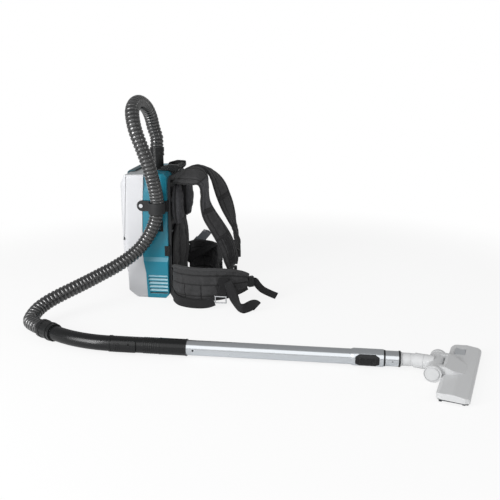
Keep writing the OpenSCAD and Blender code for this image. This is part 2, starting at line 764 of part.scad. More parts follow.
// ---- Harness ----
pad_x = front_x + 7.3;
module back_pads() color("#27282b") {
    // Oval pads over the shoulder blades and a flat pad over the small of the back
    for (s = [-1, 1]) padded_strip([for (k = [0:6]) let (u = k / 6, f = pow(sin(14 + 152 * u), 0.55))
        [pad_x + 13.5, s * 66, 212 + 115 * u, 33 * f, 27 * f, 0, 1, 0]], 2, 12);
    padded_strip([for (k = [0:6]) let (u = k / 6, f = pow(sin(18 + 144 * u), 0.4))
        [pad_x + 5, 0, 34 + 172 * u, (k < 2 ? 84 : 96) * f, 10 * f, 0, 1, 0]], 1, 16, [-0.45, 0.45]);
}

strap_right_at = [
    [79, -66, 338, 24, 0.7, 0, 0.97, 0.22], [92, -68, 349, 27, 0.9, 0, 0.93, 0.35],
    [117, -72, 357, 30, 1, 0, 0.86, 0.48], [145, -74, 355, 31, 1, 0.05, 0.85, 0.5],
    [160, -76, 338, 31, 1, 0.1, 0.95, 0.3], [164, -78, 308, 31, 1, 0.1, 1, 0.1],
    [166, -80, 275, 31, 1, 0.2, 1, 0.05], [178, -83, 243, 31, 1, 0.4, 0.9, 0.15],
    [198, -86, 212, 31, 1, 0.5, 0.84, 0.25], [217, -88, 181, 31, 1, 0.55, 0.8, 0.25],
    [231, -88, 149, 30, 1, 0.55, 0.8, 0.2], [239, -86, 118, 28, 0.9, 0.5, 0.84, 0.1],
    [241, -85, 96, 20, 0.6, 0.5, 0.84, 0.05]];
strap_left_at = [
    [79, 66, 338, 24, 0.7, 0, 0.97, -0.22], [92, 67.5, 347, 27, 0.9, 0, 0.93, -0.3],
    [116, 74, 352, 30, 1, 0, 0.92, -0.3], [143, 77, 345, 31, 1, 0.1, 0.95, -0.2],
    [163, 79, 325, 31, 1, 0.25, 0.95, -0.1], [178, 81, 297, 31, 1, 0.4, 0.9, 0],
    [189, 83, 267, 31, 1, 0.45, 0.9, 0], [201, 85, 234, 31, 1, 0.4, 0.9, 0],
    [213, 86, 200, 31, 1, 0.2, 0.98, 0], [223, 87, 166, 31, 1, -0.1, 1, 0],
    [229, 87, 132, 30, 0.9, -0.35, 0.92, 0], [231, 86, 102, 22, 0.6, -0.45, 0.88, 0]];
function strap_stations(s) = [for (q = s) [q[0], q[1], q[2], q[3], q[4] * strap_t, q[5], q[6], q[7]]];
module shoulder_strap_right() color("#26272a")
    padded_strip(strap_stations(strap_right_at), 2, 10, [-0.6, 0.6]);
module shoulder_strap_left() color("#26272a")
    padded_strip(strap_stations(strap_left_at), 2, 10, [-0.6, 0.6]);

module strap_webbing() color("#1f2022") {
    // From the adjusters back to the plate's lower slots
    web_strip([[236, -88.6, 92], [234.6, -89.6, 78], [216, -96, 70], [160, -103, 66], [front_x + 6, -91, 59]],
              [[0.5, 0.86, 0], [0.5, 0.86, 0], [0.3, 0.7, 0.5], [0.1, 0.3, 1], [0, 0, 1]], 25);
    web_strip([[226.6, 83.6, 82], [225, 84, 97], [210, 88, 106], [168, 94, 109], [120, 94, 88],
               [front_x + 6.5, 91, 59]],
              [[-0.45, 0.89, 0], [-0.45, 0.89, 0], [0, 1, 0], [0, 1, 0], [0, 0.6, 0.8], [0, 0, 1]], 25);
    // From the plate's upper slots to the straps
    mirror_y() web_strip([[front_x + 1.4, 65, 333.4], [69, 65, 333.3], [74.6, 65.6, 334.2],
                          [78.4, 66, 337.3]],
                         [[0, 1, 0], [0, 1, 0], [0, 1, -0.1], [0, 0.97, -0.22]], 28);
}

waist_right_at = [
    [76, -106, 62, 34, 0.7], [90, -131, 62, 42, 1], [116, -154, 63, 44, 1], [155, -167, 64, 44, 1],
    [198, -167, 65, 43, 1], [238, -156, 66, 39, 1], [272, -138, 66, 30, 0.9], [292, -126, 65, 20, 0.6]];
waist_left_at = [
    [76, 106, 62, 34, 0.7], [90, 130, 62, 42, 1], [112, 142, 62, 43, 1], [142, 129, 62, 43, 1],
    [164, 98, 62, 43, 1], [180, 56, 61, 38, 0.9], [190, 18, 60, 24, 0.6]];
function waist_stations(s) = [for (q = s) [q[0], q[1], q[2], q[3], q[4] * waist_t, 0, 0, 1]];
module waist_pad_right() color("#28292c") padded_strip(waist_stations(waist_right_at), 2, 14, [0.42, -0.5]);
module waist_pad_left() color("#28292c") padded_strip(waist_stations(waist_left_at), 2, 14, [0.42, -0.5]);

module belt_webbing() color("#1d1e20") {
    up = [0, 0.25, 1];
    // Lower webbing, from the plate round under the right pad to the ring
    web_strip([[66, -105.6, 25], [76, -122, 20], [84, -142, 16], [104, -168, 14.5], [136, -184, 14.5],
               [168, -187.5, 15], [190, -187, 18], [206, -184.5, 24]], [up, up, up, up, up, up, up, up], 25);
    // Loop that holds the ring
    web_strip([[231, -171.5, 90], [230, -172.4, 68], [228, -174.4, 52], [225.6, -180.4, 42.8]],
              [[1, 0.33, 0], [1, 0.33, 0], [1, 0.25, 0], [1, 0.1, 0]], 27);
    // Free tail at the front of the right pad
    web_strip([[300, -121.2, 65], [306, -117.6, 65.4], [311.5, -114.6, 63],
               [318, -111, 52], [331, -104, 36], [352, -94, 22], [369, -85, 12]],
              [[0, 0, 1], [0, 0, 1], [0.2, 0, 1], [0.3, 0, 1], [0.3, 0, 1], [0.3, 0, 1], [0.3, 0, 1]], 20);
    // Wide elastic tail, folded down on the floor
    web_strip([[243, -175, 78], [252, -184, 60], [266, -194, 34], [279, -206, 18.5], [290, -209, 15.5],
               [301, -201, 17], [312, -195, 21], [321, -192, 21], [327, -192, 16.5]],
              [[0.36, 0, 0.93], [0.36, 0, 0.93], [0.3, 0, 0.95], [0.2, -0.3, 0.9], [0, -0.2, 1], [0, 0, 1],
               [0, 0, 1], [0, 0, 1], [0, 0, 1]], 30);
}

module belt_ring() color("#c9ccd0") {
    translate([224, -182, 28]) {
        for (z = [-9, 9]) translate([0, 0, z]) along_x(-15, 15, 1.7);
        for (x = [-15, 15]) translate([x, 0, -9]) cylinder(h = 18, r = 1.7);
        for (x = [-15, 15], z = [-9, 9]) translate([x, 0, z]) sphere(r = 1.7);
    }
}

module strap_adjuster() {
    difference() {
        block([-4, -17, -11], [4, 17, 11]);
        for (z = [-5, 5]) block([-5, -13, z - 2.4], [5, 13, z + 2.4]);
    }
}
module harness_buckles() color("#191a1c") {
    translate([241.6, -85, 83.6]) rotate([0, 0, -30]) strap_adjuster();
    translate([231.8, 86, 90]) rotate([0, 0, 27]) strap_adjuster();
    // Buckle halves at the two ends of the belt
    translate([292, -126, 65]) rotate([0, 0, 31]) difference() {
        block([1.2, -5, -15], [16, 5, 15]);
        block([6, -2.5, -12], [17, 2.5, 12]);
    }
    translate([190, 18, 60]) rotate([0, 0, -75]) {
        block([0.5, -4, -15], [14, 4, 15]);
        for (z = [-9, 9]) block([13, -3, z - 3], [25, 3, z + 3]);
    }
}

// Narrow nozzle kept in a loop on the outside of the left pad
tool_tip = [124, 168, 132];
tool_tilt = 49;
module tool_frame() {
    translate(tool_tip) rotate([0, -tool_tilt, 0]) children();
}
module tool_holder() color("#222326") {
    tool_frame() difference() {
        block([-92, -15.4, -18.2], [-42, 15.4, 18.2]);
        block([-93, -12.8, -15.7], [-41, 12.8, 15.7]);
    }
    block([90, 149.7, 66], [112, 153, 92]);
}
module crevice_nozzle() color("#6d7175") {
    tool_frame() difference() {
        union() {
            side_slab([[-148, -14], [0, -11], [0, 2], [-8, 15.4], [-148, 15.4]], -12.4, 12.4);
            translate([-161, 0, 0]) along_x(0, 15, 15.5);
        }
        side_slab([[-140, -12], [2, -9], [2, 2], [-9, 13.4], [-140, 13.4]], -10.4, 10.4);
        translate([-162, 0, 0]) along_x(0, 30, 13.5);
    }
}

// ---- Hose ----
hose_start = [inlet_x, 0, inlet_top + cuff_len - seat_len];
cuff_end = bend_end + back_dir * (handle_cuff_at + handle_cuff_len - seat_len);
hose_route = concat(
    [hose_start, hose_start + [0, 0, hose_d / 2], hose_start + [0, 0, hose_d]],
    [[3, -4, 477], [0, -14, 505], [-4, -33, 530], [-9, -58, 546], [-13, -88, 553],
     [-15, -121, 548], [-13, -149, 533], [-7, -166, 511], [1, -176, 486], [11, -181, 460],
     [21, -181, 433], [29, -177, 406], [36, -169, 375], [41, -155, 334], [42.5, -141, 298],
     [41, -137, 270], [36, -136, 238], [22, -141, 202], [-3, -152, 164], [-33, -170, 136],
     [-68, -195, 114], [-102, -222, 98], [-130, -250, 86], [-156, -278, 76], [-181, -301, 66],
     [-205, -324, 55], [-223, -348, 43], [-230, -374, 32], [-226, -397, 25]],
    [cuff_end + back_dir * hose_d, cuff_end + back_dir * hose_d / 2, cuff_end]);
hose_path = smooth(hose_route, 6);
hose_runs = run_length(hose_path);
hose_len = hose_runs[len(hose_runs) - 1];
hose_table = [for (k = [0:2]) [for (i = [0:len(hose_path) - 1]) [hose_runs[i], hose_path[i][k]]]];
function hose_at(s) = [for (k = [0:2]) lookup(s, hose_table[k])];
function hose_dir(s) = unit(hose_at(min(s + 3, hose_len)) - hose_at(max(s - 3, 0)));
rib_count = round(hose_len / rib_pitch);
bore_rings = round(hose_len / 28);
// Least distance between stretches of the hose that lie apart along it, less its diameter
gap_points = [for (k = [0:60]) hose_at(k * hose_len / 60)];
hose_gap = min([for (i = [0:60]) for (j = [i + 8:1:60]) norm(gap_points[i] - gap_points[j])]) - hose_d;
echo(hose_length = hose_len, ribs = rib_count, least_gap = hose_gap);

module hose() color("#2a2b2d") {
    side = [1, 0, 0.02];
    outer = [for (k = [0:2 * rib_count])
                let (s = hose_len * k / (2 * rib_count), r = k % 2 == 0 ? hose_d / 2 - 2.4 : hose_d / 2)
                ring(hose_at(s), hose_dir(s), side, circle_section(r, 8))];
    inner = [for (k = [0:bore_rings])
                let (s = hose_len * k / bore_rings)
                ring(hose_at(s), hose_dir(s), side, circle_section(hose_bore / 2, 8))];
    bored_loft(outer, inner);
}

// A cuff that turns on a spigot and grips the hose: local X runs from the spigot to the hose
module swivel_cuff(length, d) {
    difference() {
        union() {
            along_x(run_gap, length, d / 2 - 1);
            along_x(run_gap, 4, d / 2);
            along_x(length - seat_len - 1.5, length, d / 2);
        }
        along_x(-cut, spigot_len + 2 * run_gap, spigot_r + fit_gap);
        along_x(-cut, length + cut, hose_bore / 2);
        along_x(length - seat_len - 0.1, length + cut, hose_d / 2 + run_gap);
        for (a = [0:30:330]) rotate([a, 0, 0])
            block([6, d / 2 - 1.7, -1.2], [length - seat_len - 3, d / 2 + 1, 1.2]);
    }
}
module inlet_cuff() color("#1a1b1d") {
    translate([inlet_x, 0, inlet_top]) rotate([0, -90, 0]) swivel_cuff(cuff_len, inlet_cuff_d);
}
module at_handle_end() {
    translate(bend_end) rotate([0, 0, 180 - handle_bend]) children();
}
module handle_cuff() color("#1a1b1d") {
    at_handle_end() translate([handle_cuff_at, 0, 0]) swivel_cuff(handle_cuff_len, handle_cuff_d);
}

module hose_band() color("#202123") {
    hose_c = [40.8, -137.6];
    side_y = -white_half - 0.3;
    translate([0, 0, band_z]) linear_extrude(band_h) difference() {
        hull() {
            translate(hose_c) circle(r = hose_d / 2 + 1.9 + band_t, $fn = 32);
            translate([14, side_y - band_t]) square([44, band_t]);
        }
        hull() {
            translate(hose_c) circle(r = hose_d / 2 + 1.9, $fn = 32);
            translate([16, side_y - 0.2]) square([40, 3]);
        }
    }
    difference() {
        side_slab(rounded([[stud_x - 12, band_z, 14], [18, band_z, 0], [18, band_z + band_h, 0],
                           [stud_x - 12, band_z + band_h, 14]]), side_y - band_t, side_y);
        translate([stud_x, side_y, band_z + band_h / 2]) along_y(-5, 5, 4.4);
    }
    // Return that hooks on the edge of the back plate
    block([56, side_y - band_t, band_z], [front_x + 3.3, side_y, band_z + band_h]);
    block([front_x + run_gap, side_y - cut, band_z], [front_x + 3.3, -100.2, band_z + band_h]);
}

// ---- Handle and wand, along X ----
module wand_line() {
    translate([0, wand_y, wand_z]) children();
}
module handle_pipe() color("#1e1f21") {
    wand_line() difference() {
        union() {
            along_x(grip_x0, ring_x, handle_d / 2);
            along_x(grip_x0 - 3, grip_x0 + 3, handle_d / 2 + 1);
            along_x(ring_x, ring_x + ring_len, handle_d / 2 + 1);
            along_x(ring_x + ring_len, tube_x0, handle_d / 2 + 0.7);
            along_x(tube_x0 - 3, tube_x0, handle_d / 2 + 1.4);
            // Grip ribs
            for (x = [100:5:130]) along_x(x, x + 2.2, handle_d / 2 + 0.6);
        }
        along_x(grip_x0 - 4, 150, spigot_bore);
        along_x(149, tube_x0 + cut, tube_d / 2);
        translate([slide_x0 + 42 + slide_travel, 0, 7]) along_y(-30, 0, 2.4);
        // Shallow window in the sleeve
        block([tube_x0 - 52, -30, -6], [tube_x0 - 10, -handle_d / 2 - 0.1, 6]);
    }
    translate([grip_x0, wand_y + handle_r, wand_z]) rotate([0, 0, -90 - handle_bend])
        rotate_extrude(angle = handle_bend) translate([handle_r, 0]) difference() {
            circle(r = handle_d / 2 - 0.3);
            circle(r = hose_bore / 2);
        }
    at_handle_end() difference() {
        union() {
            along_x(-3, handle_cuff_at, handle_cuff_d / 2 - 1);
            along_x(0, handle_cuff_at + spigot_len, spigot_r);
        }
        along_x(-4, handle_cuff_at + spigot_len + cut, spigot_bore);
    }
}
slide_x0 = 26;
slide_len = 58;
slide_travel = 12;
module suction_slider() color("#2c2e30") {
    wand_line() difference() {
        intersection() {
            along_x(slide_x0, slide_x0 + slide_len, handle_d / 2 + 3);
            side_slab(rounded([[slide_x0, -14, 4], [slide_x0 + slide_len, -14, 4],
                               [slide_x0 + slide_len, 14, 4], [slide_x0, 14, 4]]), -40, 0);
        }
        along_x(slide_x0 - cut, slide_x0 + slide_len + cut, handle_d / 2 + run_gap);
        translate([slide_x0 + 42, 0, 7]) along_y(-40, 0, 2.4);
    }
    wand_line() for (x = [slide_x0 + 6:4:slide_x0 + 18])
        intersection() {
            block([x, -handle_d / 2 - 4, -9], [x + 1.8, -handle_d / 2 + 2, 9]);
            difference() {
                along_x(x, x + 1.8, handle_d / 2 + 3.8);
                along_x(x - cut, x + 4, handle_d / 2 + 1);
            }
        }
}
module outer_tube() color("#cfd3d6") {
    wand_line() difference() {
        along_x(150, tube_x1 + 28, tube_d / 2);
        along_x(149, tube_x1 + 30, tube_d / 2 - tube_wall);
        translate([tube_x0 + 16, 0, 0]) along_y(-30, 0, 2.4);
    }
}
module lock_collar() color("#c6cace") {
    wand_line() difference() {
        union() {
            translate([tube_x1, 0, 0]) rotate([0, 90, 0])
                cylinder(h = 5, r1 = tube_d / 2 + 0.3, r2 = tube_d / 2 + 2.1);
            along_x(tube_x1 + 5, collar_x1, tube_d / 2 + 2.1);
        }
        along_x(tube_x1 - cut, tube_x1 + 28, tube_d / 2);
        along_x(tube_x1 + 27, collar_x1 + cut, inner_d / 2 + fit_gap);
    }
}
lock_x0 = tube_x1 + 9;
lock_x1 = collar_x1 - 9;
module lock_slider() color("#2b2d31") {
    r = tube_d / 2 + 2.1;
    wand_line() {
        difference() {
            intersection() {
                along_x(lock_x0, lock_x1, r + 2);
                side_slab([[lock_x0, -8], [lock_x0 + 9, -13], [lock_x1 - 9, -13], [lock_x1, -8],
                           [lock_x1, 8], [lock_x1 - 9, 13], [lock_x0 + 9, 13], [lock_x0, 8]], -40, 0);
            }
            along_x(lock_x0 - cut, lock_x1 + cut, r + run_gap);
        }
        side_slab(rounded([[lock_x0 + 21, -4, 3], [lock_x0 + 34, -4, 3], [lock_x0 + 34, 5, 3],
                           [lock_x0 + 21, 5, 3]]), -r - 3.6, -r - 1);
        for (x = [lock_x0 + 9, lock_x1 - 15]) for (k = [0:2])
            block([x + 2.6 * k, -r - 2.5, -6], [x + 2.6 * k + 1.2, -r - 1, 6]);
    }
}
module inner_tube() color("#d4d7da") {
    bore = inner_d / 2 - tube_wall;
    wand_line() difference() {
        union() {
            along_x(collar_x1 - telescope - 45, sleeve_x0, inner_d / 2);
            along_x(sleeve_x0, sleeve_x1, tube_d / 2 - 0.2);
            along_x(sleeve_x1, neck_x0, inner_d / 2 + 0.4);
        }
        along_x(collar_x1 - telescope - 46, neck_x0 + cut, bore);
        translate([sleeve_x0 + sleeve_len * 0.55, 0, 0]) along_y(-30, 0, 2.4);
    }
}
module tube_rings() color("#1c1d1f") {
    wand_line() for (x = [collar_x1 + run_gap, sleeve_x1]) difference() {
        along_x(x, x + (x == sleeve_x1 ? end_ring : end_ring - run_gap), tube_d / 2 + 0.7);
        along_x(x - cut, x + end_ring + cut, inner_d / 2 + (x == sleeve_x1 ? 0.4 : 0));
    }
}

// ---- Floor nozzle: local X runs forward from the neck's bend ----
module neck_line() {
    translate([bend_x, wand_y, wand_z]) rotate([0, 0, -nozzle_yaw]) children();
}
module nozzle_neck() color("#e4e6e6") {
    bore = neck_r - 1.8;
    wand_line() difference() {
        union() {
            along_x(sleeve_x0 + 2, bend_x - elbow_at, neck_r);
            along_x(neck_x0, neck_x0 + 3, neck_r + 1.2);
        }
        along_x(sleeve_x0, bend_x - elbow_at + cut, bore);
    }
    // Elbow, which reaches two degrees into the wall of each straight run
    translate([bend_x - elbow_at, wand_y - elbow_r, wand_z]) rotate([0, 0, 88 - nozzle_yaw])
        rotate_extrude(angle = nozzle_yaw + 4) translate([elbow_r, 0]) difference() {
            circle(r = neck_r - 0.3);
            circle(r = bore + 0.3);
        }
    neck_line() difference() {
        along_x(elbow_at, swivel_at, neck_r + 1.8);
        along_x(elbow_at - cut, swivel_at + cut, bore);
    }
}
module nozzle_yoke() color("#dfe1e1") {
    plug = neck_r - 1.8 - fit_gap;
    neck_line() difference() {
        union() {
            along_x(10, axle_at - 6, plug);
            along_x(swivel_at + run_gap, axle_at - 4, neck_r + 1.8);
            translate([axle_at, 0, -axle_drop]) along_y(-yoke_half, yoke_half, 17);
        }
        along_x(9, axle_at - 8, plug - 2);
        translate([axle_at, 0, -axle_drop]) along_y(-yoke_half - cut, yoke_half + cut, 4 + fit_gap);
    }
}
// Local frame of the head: origin on the axle, at floor level
module head_line() {
    neck_line() translate([axle_at, 0, -wand_z]) children();
}
head_side = rounded([[head_x0, shell_z, 1], [head_x0, 16, 3], [head_x0 + 8, head_top, 8],
                     [head_x0 + 34, head_top + 2, 30], [head_x1 - 5, head_top - 2, 4],
                     [head_x1, 14, 3], [head_x1, shell_z, 1]]);
head_plan = rounded([[head_x0, -nozzle_w / 2 + 4, 14], [head_x1 - 10, -nozzle_w / 2, 4],
                     [head_x1, -nozzle_w / 2 + 5, 3], [head_x1, nozzle_w / 2 - 5, 3],
                     [head_x1 - 10, nozzle_w / 2, 4], [head_x0, nozzle_w / 2 - 4, 14]]);
pedal_y = 92;
// Depth of the pedal's axle below the head's top
pedal_drop = 2;
pedal_x = head_x0 + 24;
mouth_x = head_x1 - 24;
module nozzle_head() color("#e6e8e8") {
    bridge = rounded([[17.6, 10, 1], [17.6, 34, 3], [24, 36, 4], [44, 28, 12], [66, 20, 8], [70, 10, 1]]);
    head_line() {
        difference() {
            union() {
                intersection() {
                    side_slab(head_side, -nozzle_w / 2, nozzle_w / 2);
                    linear_extrude(40) polygon(head_plan);
                }
                // Raised neck cover, narrowing forward
                intersection() {
                    side_slab(bridge, -arm_y - arm_t, arm_y + arm_t);
                    linear_extrude(60) polygon(rounded([[0, -arm_y - arm_t, 2], [40, -arm_y - arm_t, 20],
                        [72, -18, 8], [72, 18, 8], [40, arm_y + arm_t, 20], [0, arm_y + arm_t, 2]]));
                }
            }
            block([mouth_x, -nozzle_w / 2 + 22, sole_z], [mouth_x + 12, nozzle_w / 2 - 22, 15]);
            block([40, -14, sole_z], [mouth_x + 1, 14, 15]);
            // Pedal well
            block([pedal_x - 11.5, pedal_y - 17.5, 14], [pedal_x + 11.5, pedal_y + 17.5, 40]);
            mirror_pedal() along_y(17, 20, 1.5 + fit_gap);
            brush_slots(0.4);
            // Pockets for the wheels
            mirror_y() translate([0, arm_y + arm_t, wheel_r]) along_y(-cut, wheel_w + 3, wheel_r + 1.8);
        }
        // Arms that carry the axle
        mirror_y() difference() {
            union() {
                translate([0, arm_y, wheel_r]) along_y(0, arm_t, 17.6);
                block([0, arm_y, 8], [24, arm_y + arm_t, wheel_r + 10]);
                side_slab([[6, wheel_r + 10], [24, wheel_r + 10], [24, 36], [6, wheel_r + 16.5]],
                          arm_y, arm_y + arm_t);
            }
            translate([0, arm_y, wheel_r]) along_y(-cut, arm_t + cut, 4);
        }
    }
}
module brush_slots(extra) {
    for (x = [mouth_x - 8, mouth_x + 16])
        block([x - extra, -nozzle_w / 2 + 20 - extra, sole_z - cut],
              [x + 4 + extra, nozzle_w / 2 - 20 + extra, 11]);
}
module nozzle_sole() color("#55595c") {
    head_line() {
        difference() {
            translate([0, 0, sole_z]) linear_extrude(shell_z - sole_z)
                polygon(rounded([[head_x0 + 2, -nozzle_w / 2 + 7, 12], [head_x1 - 3, -nozzle_w / 2 + 5, 3],
                                 [head_x1 - 3, nozzle_w / 2 - 5, 3], [head_x0 + 2, nozzle_w / 2 - 7, 12]]));
            block([mouth_x, -nozzle_w / 2 + 22, 0], [mouth_x + 12, nozzle_w / 2 - 22, 15]);
            block([40, -14, 0], [mouth_x + 1, 14, 15]);
            brush_slots(0.4);
        }
        // Glides under the two ends
        mirror_y() for (x = [head_x0 + 10, head_x1 - 12])
            translate([x, nozzle_w / 2 - 14, 0]) block([-3, -4, 0], [3, 6, sole_z]);
    }
}
module axle_pin() color("#b7babd") {
    head_line() translate([0, 0, wheel_r])
        along_y(-arm_y - arm_t - wheel_w, arm_y + arm_t + wheel_w, 4);
}
module nozzle_wheels() color("#d6d8d8") {
    head_line() mirror_y() translate([0, arm_y + arm_t + run_gap, wheel_r]) difference() {
        union() {
            along_y(0, wheel_w, wheel_r);
            along_y(wheel_w - cut, wheel_w + 0.8, 13.5);
        }
        along_y(-cut, wheel_w - run_gap, 4 + fit_gap);
        translate([0, wheel_w, 0]) difference() {
            along_y(-1.2, cut, 17.4);
            along_y(-2, 2, 14.6);
        }
    }
}
module pedal() color("#8f9396") {
    head_line() {
        translate([pedal_x, pedal_y, head_top]) difference() {
            side_slab([[-11, -3.6], [11, -3.6], [11, 1.2], [0, 0], [-11, 3]], -17, 17);
            for (x = [-9:3:-3]) block([x, -14, 0.8 - x * 0.2], [x + 1, 14, 8]);
        }
        // Pins that the pedal rocks on
        mirror_pedal() along_y(16, 19.4, 1.5);
    }
}
module mirror_pedal() {
    translate([pedal_x, pedal_y, head_top - pedal_drop]) {
        children();
        mirror([0, 1, 0]) children();
    }
}
module brush_strips() color("#26282a") {
    head_line() for (x = [mouth_x - 8, mouth_x + 16])
        block([x, -nozzle_w / 2 + 20, sole_z + 0.4], [x + 4, nozzle_w / 2 - 20, 9]);
}

main_housing();
rear_frame();
roof_panel();
bag_cover();
cover_seal();
cover_pins();
cover_latch();
back_plate();
plate_clips();
carry_handle();
power_switch();
switch_bezel();
housing_screws();
hose_inlet();
bag_collar();
dust_bag();
pre_filter();
fan_housing();
impeller();
motor_can();
motor_shaft();
motor_mount();
exhaust_filters();
control_board();
battery_dock();
battery_right();
battery_left();
battery_button_right();
battery_button_left();
back_pads();
shoulder_strap_right();
shoulder_strap_left();
strap_webbing();
waist_pad_right();
waist_pad_left();
belt_webbing();
belt_ring();
harness_buckles();
tool_holder();
crevice_nozzle();
inlet_cuff();
hose();
hose_band();
handle_cuff();
handle_pipe();
suction_slider();
outer_tube();
lock_collar();
lock_slider();
inner_tube();
tube_rings();
nozzle_neck();
nozzle_yoke();
nozzle_head();
nozzle_sole();
axle_pin();
nozzle_wheels();
pedal();
brush_strips();
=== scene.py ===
"""Backpack vacuum cleaner: finishes, padded harness, hose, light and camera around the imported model."""

from __future__ import annotations

import logging
import math
from dataclasses import dataclass, field
from enum import Enum
from functools import cached_property
from typing import Any, Callable, ClassVar, Dict, List, Optional, Sequence, Tuple, Union

import bpy
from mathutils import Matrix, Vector, noise
from mathutils.bvhtree import BVHTree
from mathutils.kdtree import KDTree


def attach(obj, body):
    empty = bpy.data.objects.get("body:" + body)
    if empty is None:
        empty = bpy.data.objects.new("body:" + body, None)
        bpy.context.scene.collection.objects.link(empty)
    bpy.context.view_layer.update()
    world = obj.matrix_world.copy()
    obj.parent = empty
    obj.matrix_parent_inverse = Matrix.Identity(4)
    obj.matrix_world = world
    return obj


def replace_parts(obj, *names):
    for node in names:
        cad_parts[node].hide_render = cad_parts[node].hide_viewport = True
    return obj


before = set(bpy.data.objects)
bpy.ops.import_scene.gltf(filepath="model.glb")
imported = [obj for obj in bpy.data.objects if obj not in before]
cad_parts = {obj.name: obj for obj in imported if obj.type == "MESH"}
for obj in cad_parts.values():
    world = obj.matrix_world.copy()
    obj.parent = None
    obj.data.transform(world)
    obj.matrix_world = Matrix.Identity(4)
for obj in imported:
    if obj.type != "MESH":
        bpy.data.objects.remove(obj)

LOG = logging.getLogger("vacuum")
MM = 0.001
WHITE = (1.0, 1.0, 1.0)
Row = Sequence[float]
Triple = Tuple[float, float, float]
Term = Union["Wire", float, Sequence[float]]
Pair = Tuple[float, float]
Numbers = Tuple[float, ...]
Outline = List[Pair]


# ---------- colours and curves
def linear(tone: str) -> Triple:
    """Turns a tone written as "#rrggbb" into linear colour values from 0 to 1."""
    parts = [int(tone[i : i + 2], 16) / 255 for i in (1, 3, 5)]
    return tuple(c / 12.92 if c <= 0.04045 else ((c + 0.055) / 1.055) ** 2.4 for c in parts)


def shade(colour: Row, share: float) -> Triple:
    """Multiplies a colour by one number, and keeps it within 1."""
    return tuple(min(1.0, c * share) for c in colour)


def smooth_rows(rows: Sequence[Row], steps: int) -> List[List[float]]:
    """Runs a smooth curve through rows of numbers.

    Args:
        rows: the rows that the curve passes through.
        steps: how many rows each span is cut into.

    Returns:
        Rows along the curve, the first and the last as given.
    """

    def between(p: float, q: float, r: float, s: float, t: float) -> float:
        """A number at share t of the way from q to r, with p before and s after them."""
        square, cube = (2 * p - 5 * q + 4 * r - s) * t * t, (3 * q - p - 3 * r + s) * t**3
        return 0.5 * (2 * q + (r - p) * t + square + cube)

    made: List[List[float]] = []
    last = len(rows) - 1
    for i in range(last):
        near = rows[max(i - 1, 0)], rows[i], rows[i + 1], rows[min(i + 2, last)]
        for k in range(steps):
            made.append([between(*four, k / steps) for four in zip(*near)])
    return made + [list(rows[last])]


@dataclass(frozen=True)
class Step:
    """One place on a track: centre, direction, width axis, thickness axis and length run so far."""

    at: Vector
    ahead: Vector
    wide: Vector
    thick: Vector
    run: float

    def spot(self, across: float, up: float) -> Vector:
        """The point that far across and through the thickness, in metres."""
        return self.at + self.wide * across + self.thick * up

    def ring(self, section: Sequence[Pair]) -> List[Vector]:
        """The points of a section that is set across the track here."""
        return [self.spot(x, y) for x, y in section]


def lay_track(points: Sequence[Vector], widths: Optional[Sequence[Vector]] = None) -> List[Step]:
    """Puts axes on a polyline.

    Args:
        points: the line's points, in metres.
        widths: one width direction per point, or None to carry one axis along without twist.

    Returns:
        One step per point.
    """
    steps: List[Step] = []
    run, wide = 0.0, Vector((1, 0, 0.02))
    last = len(points) - 1
    for i, point in enumerate(points):
        ahead = (points[min(i + 1, last)] - points[max(i - 1, 0)]).normalized()
        wide = Vector(widths[i]) if widths else wide
        wide = (wide - ahead * wide.dot(ahead)).normalized()
        if i:
            run += (point - points[i - 1]).length
        steps.append(Step(point.copy(), ahead, wide.copy(), ahead.cross(wide), run))
    return steps


def even_points(points: Sequence[Vector], spacing: float) -> List[Vector]:
    """Points at an even spacing along a polyline.

    Args:
        points: the polyline.
        spacing: the distance wanted between points, in metres.

    Returns:
        The new points, both ends kept.
    """
    runs = [0.0]
    for a, b in zip(points, points[1:]):
        runs.append(runs[-1] + (b - a).length)
    count = max(1, round(runs[-1] / spacing))
    made, i = [], 0
    for k in range(count + 1):
        s = runs[-1] * k / count
        while i < len(points) - 2 and runs[i + 1] < s:
            i += 1
        share = (s - runs[i]) / max(runs[i + 1] - runs[i], 1e-9)
        made.append(points[i].lerp(points[i + 1], min(share, 1.0)))
    return made


def oval(half_wide: float, half_thick: float, sides: int) -> Outline:
    """Points of an oval section."""
    turns = [2 * math.pi * i / sides for i in range(sides)]
    return [(half_wide * math.cos(a), half_thick * math.sin(a)) for a in turns]


def dip(away: float, width: float) -> float:
    """A soft bell: 1 where away is 0, and gone a few widths from there."""
    return math.exp(-((away / width) ** 2))


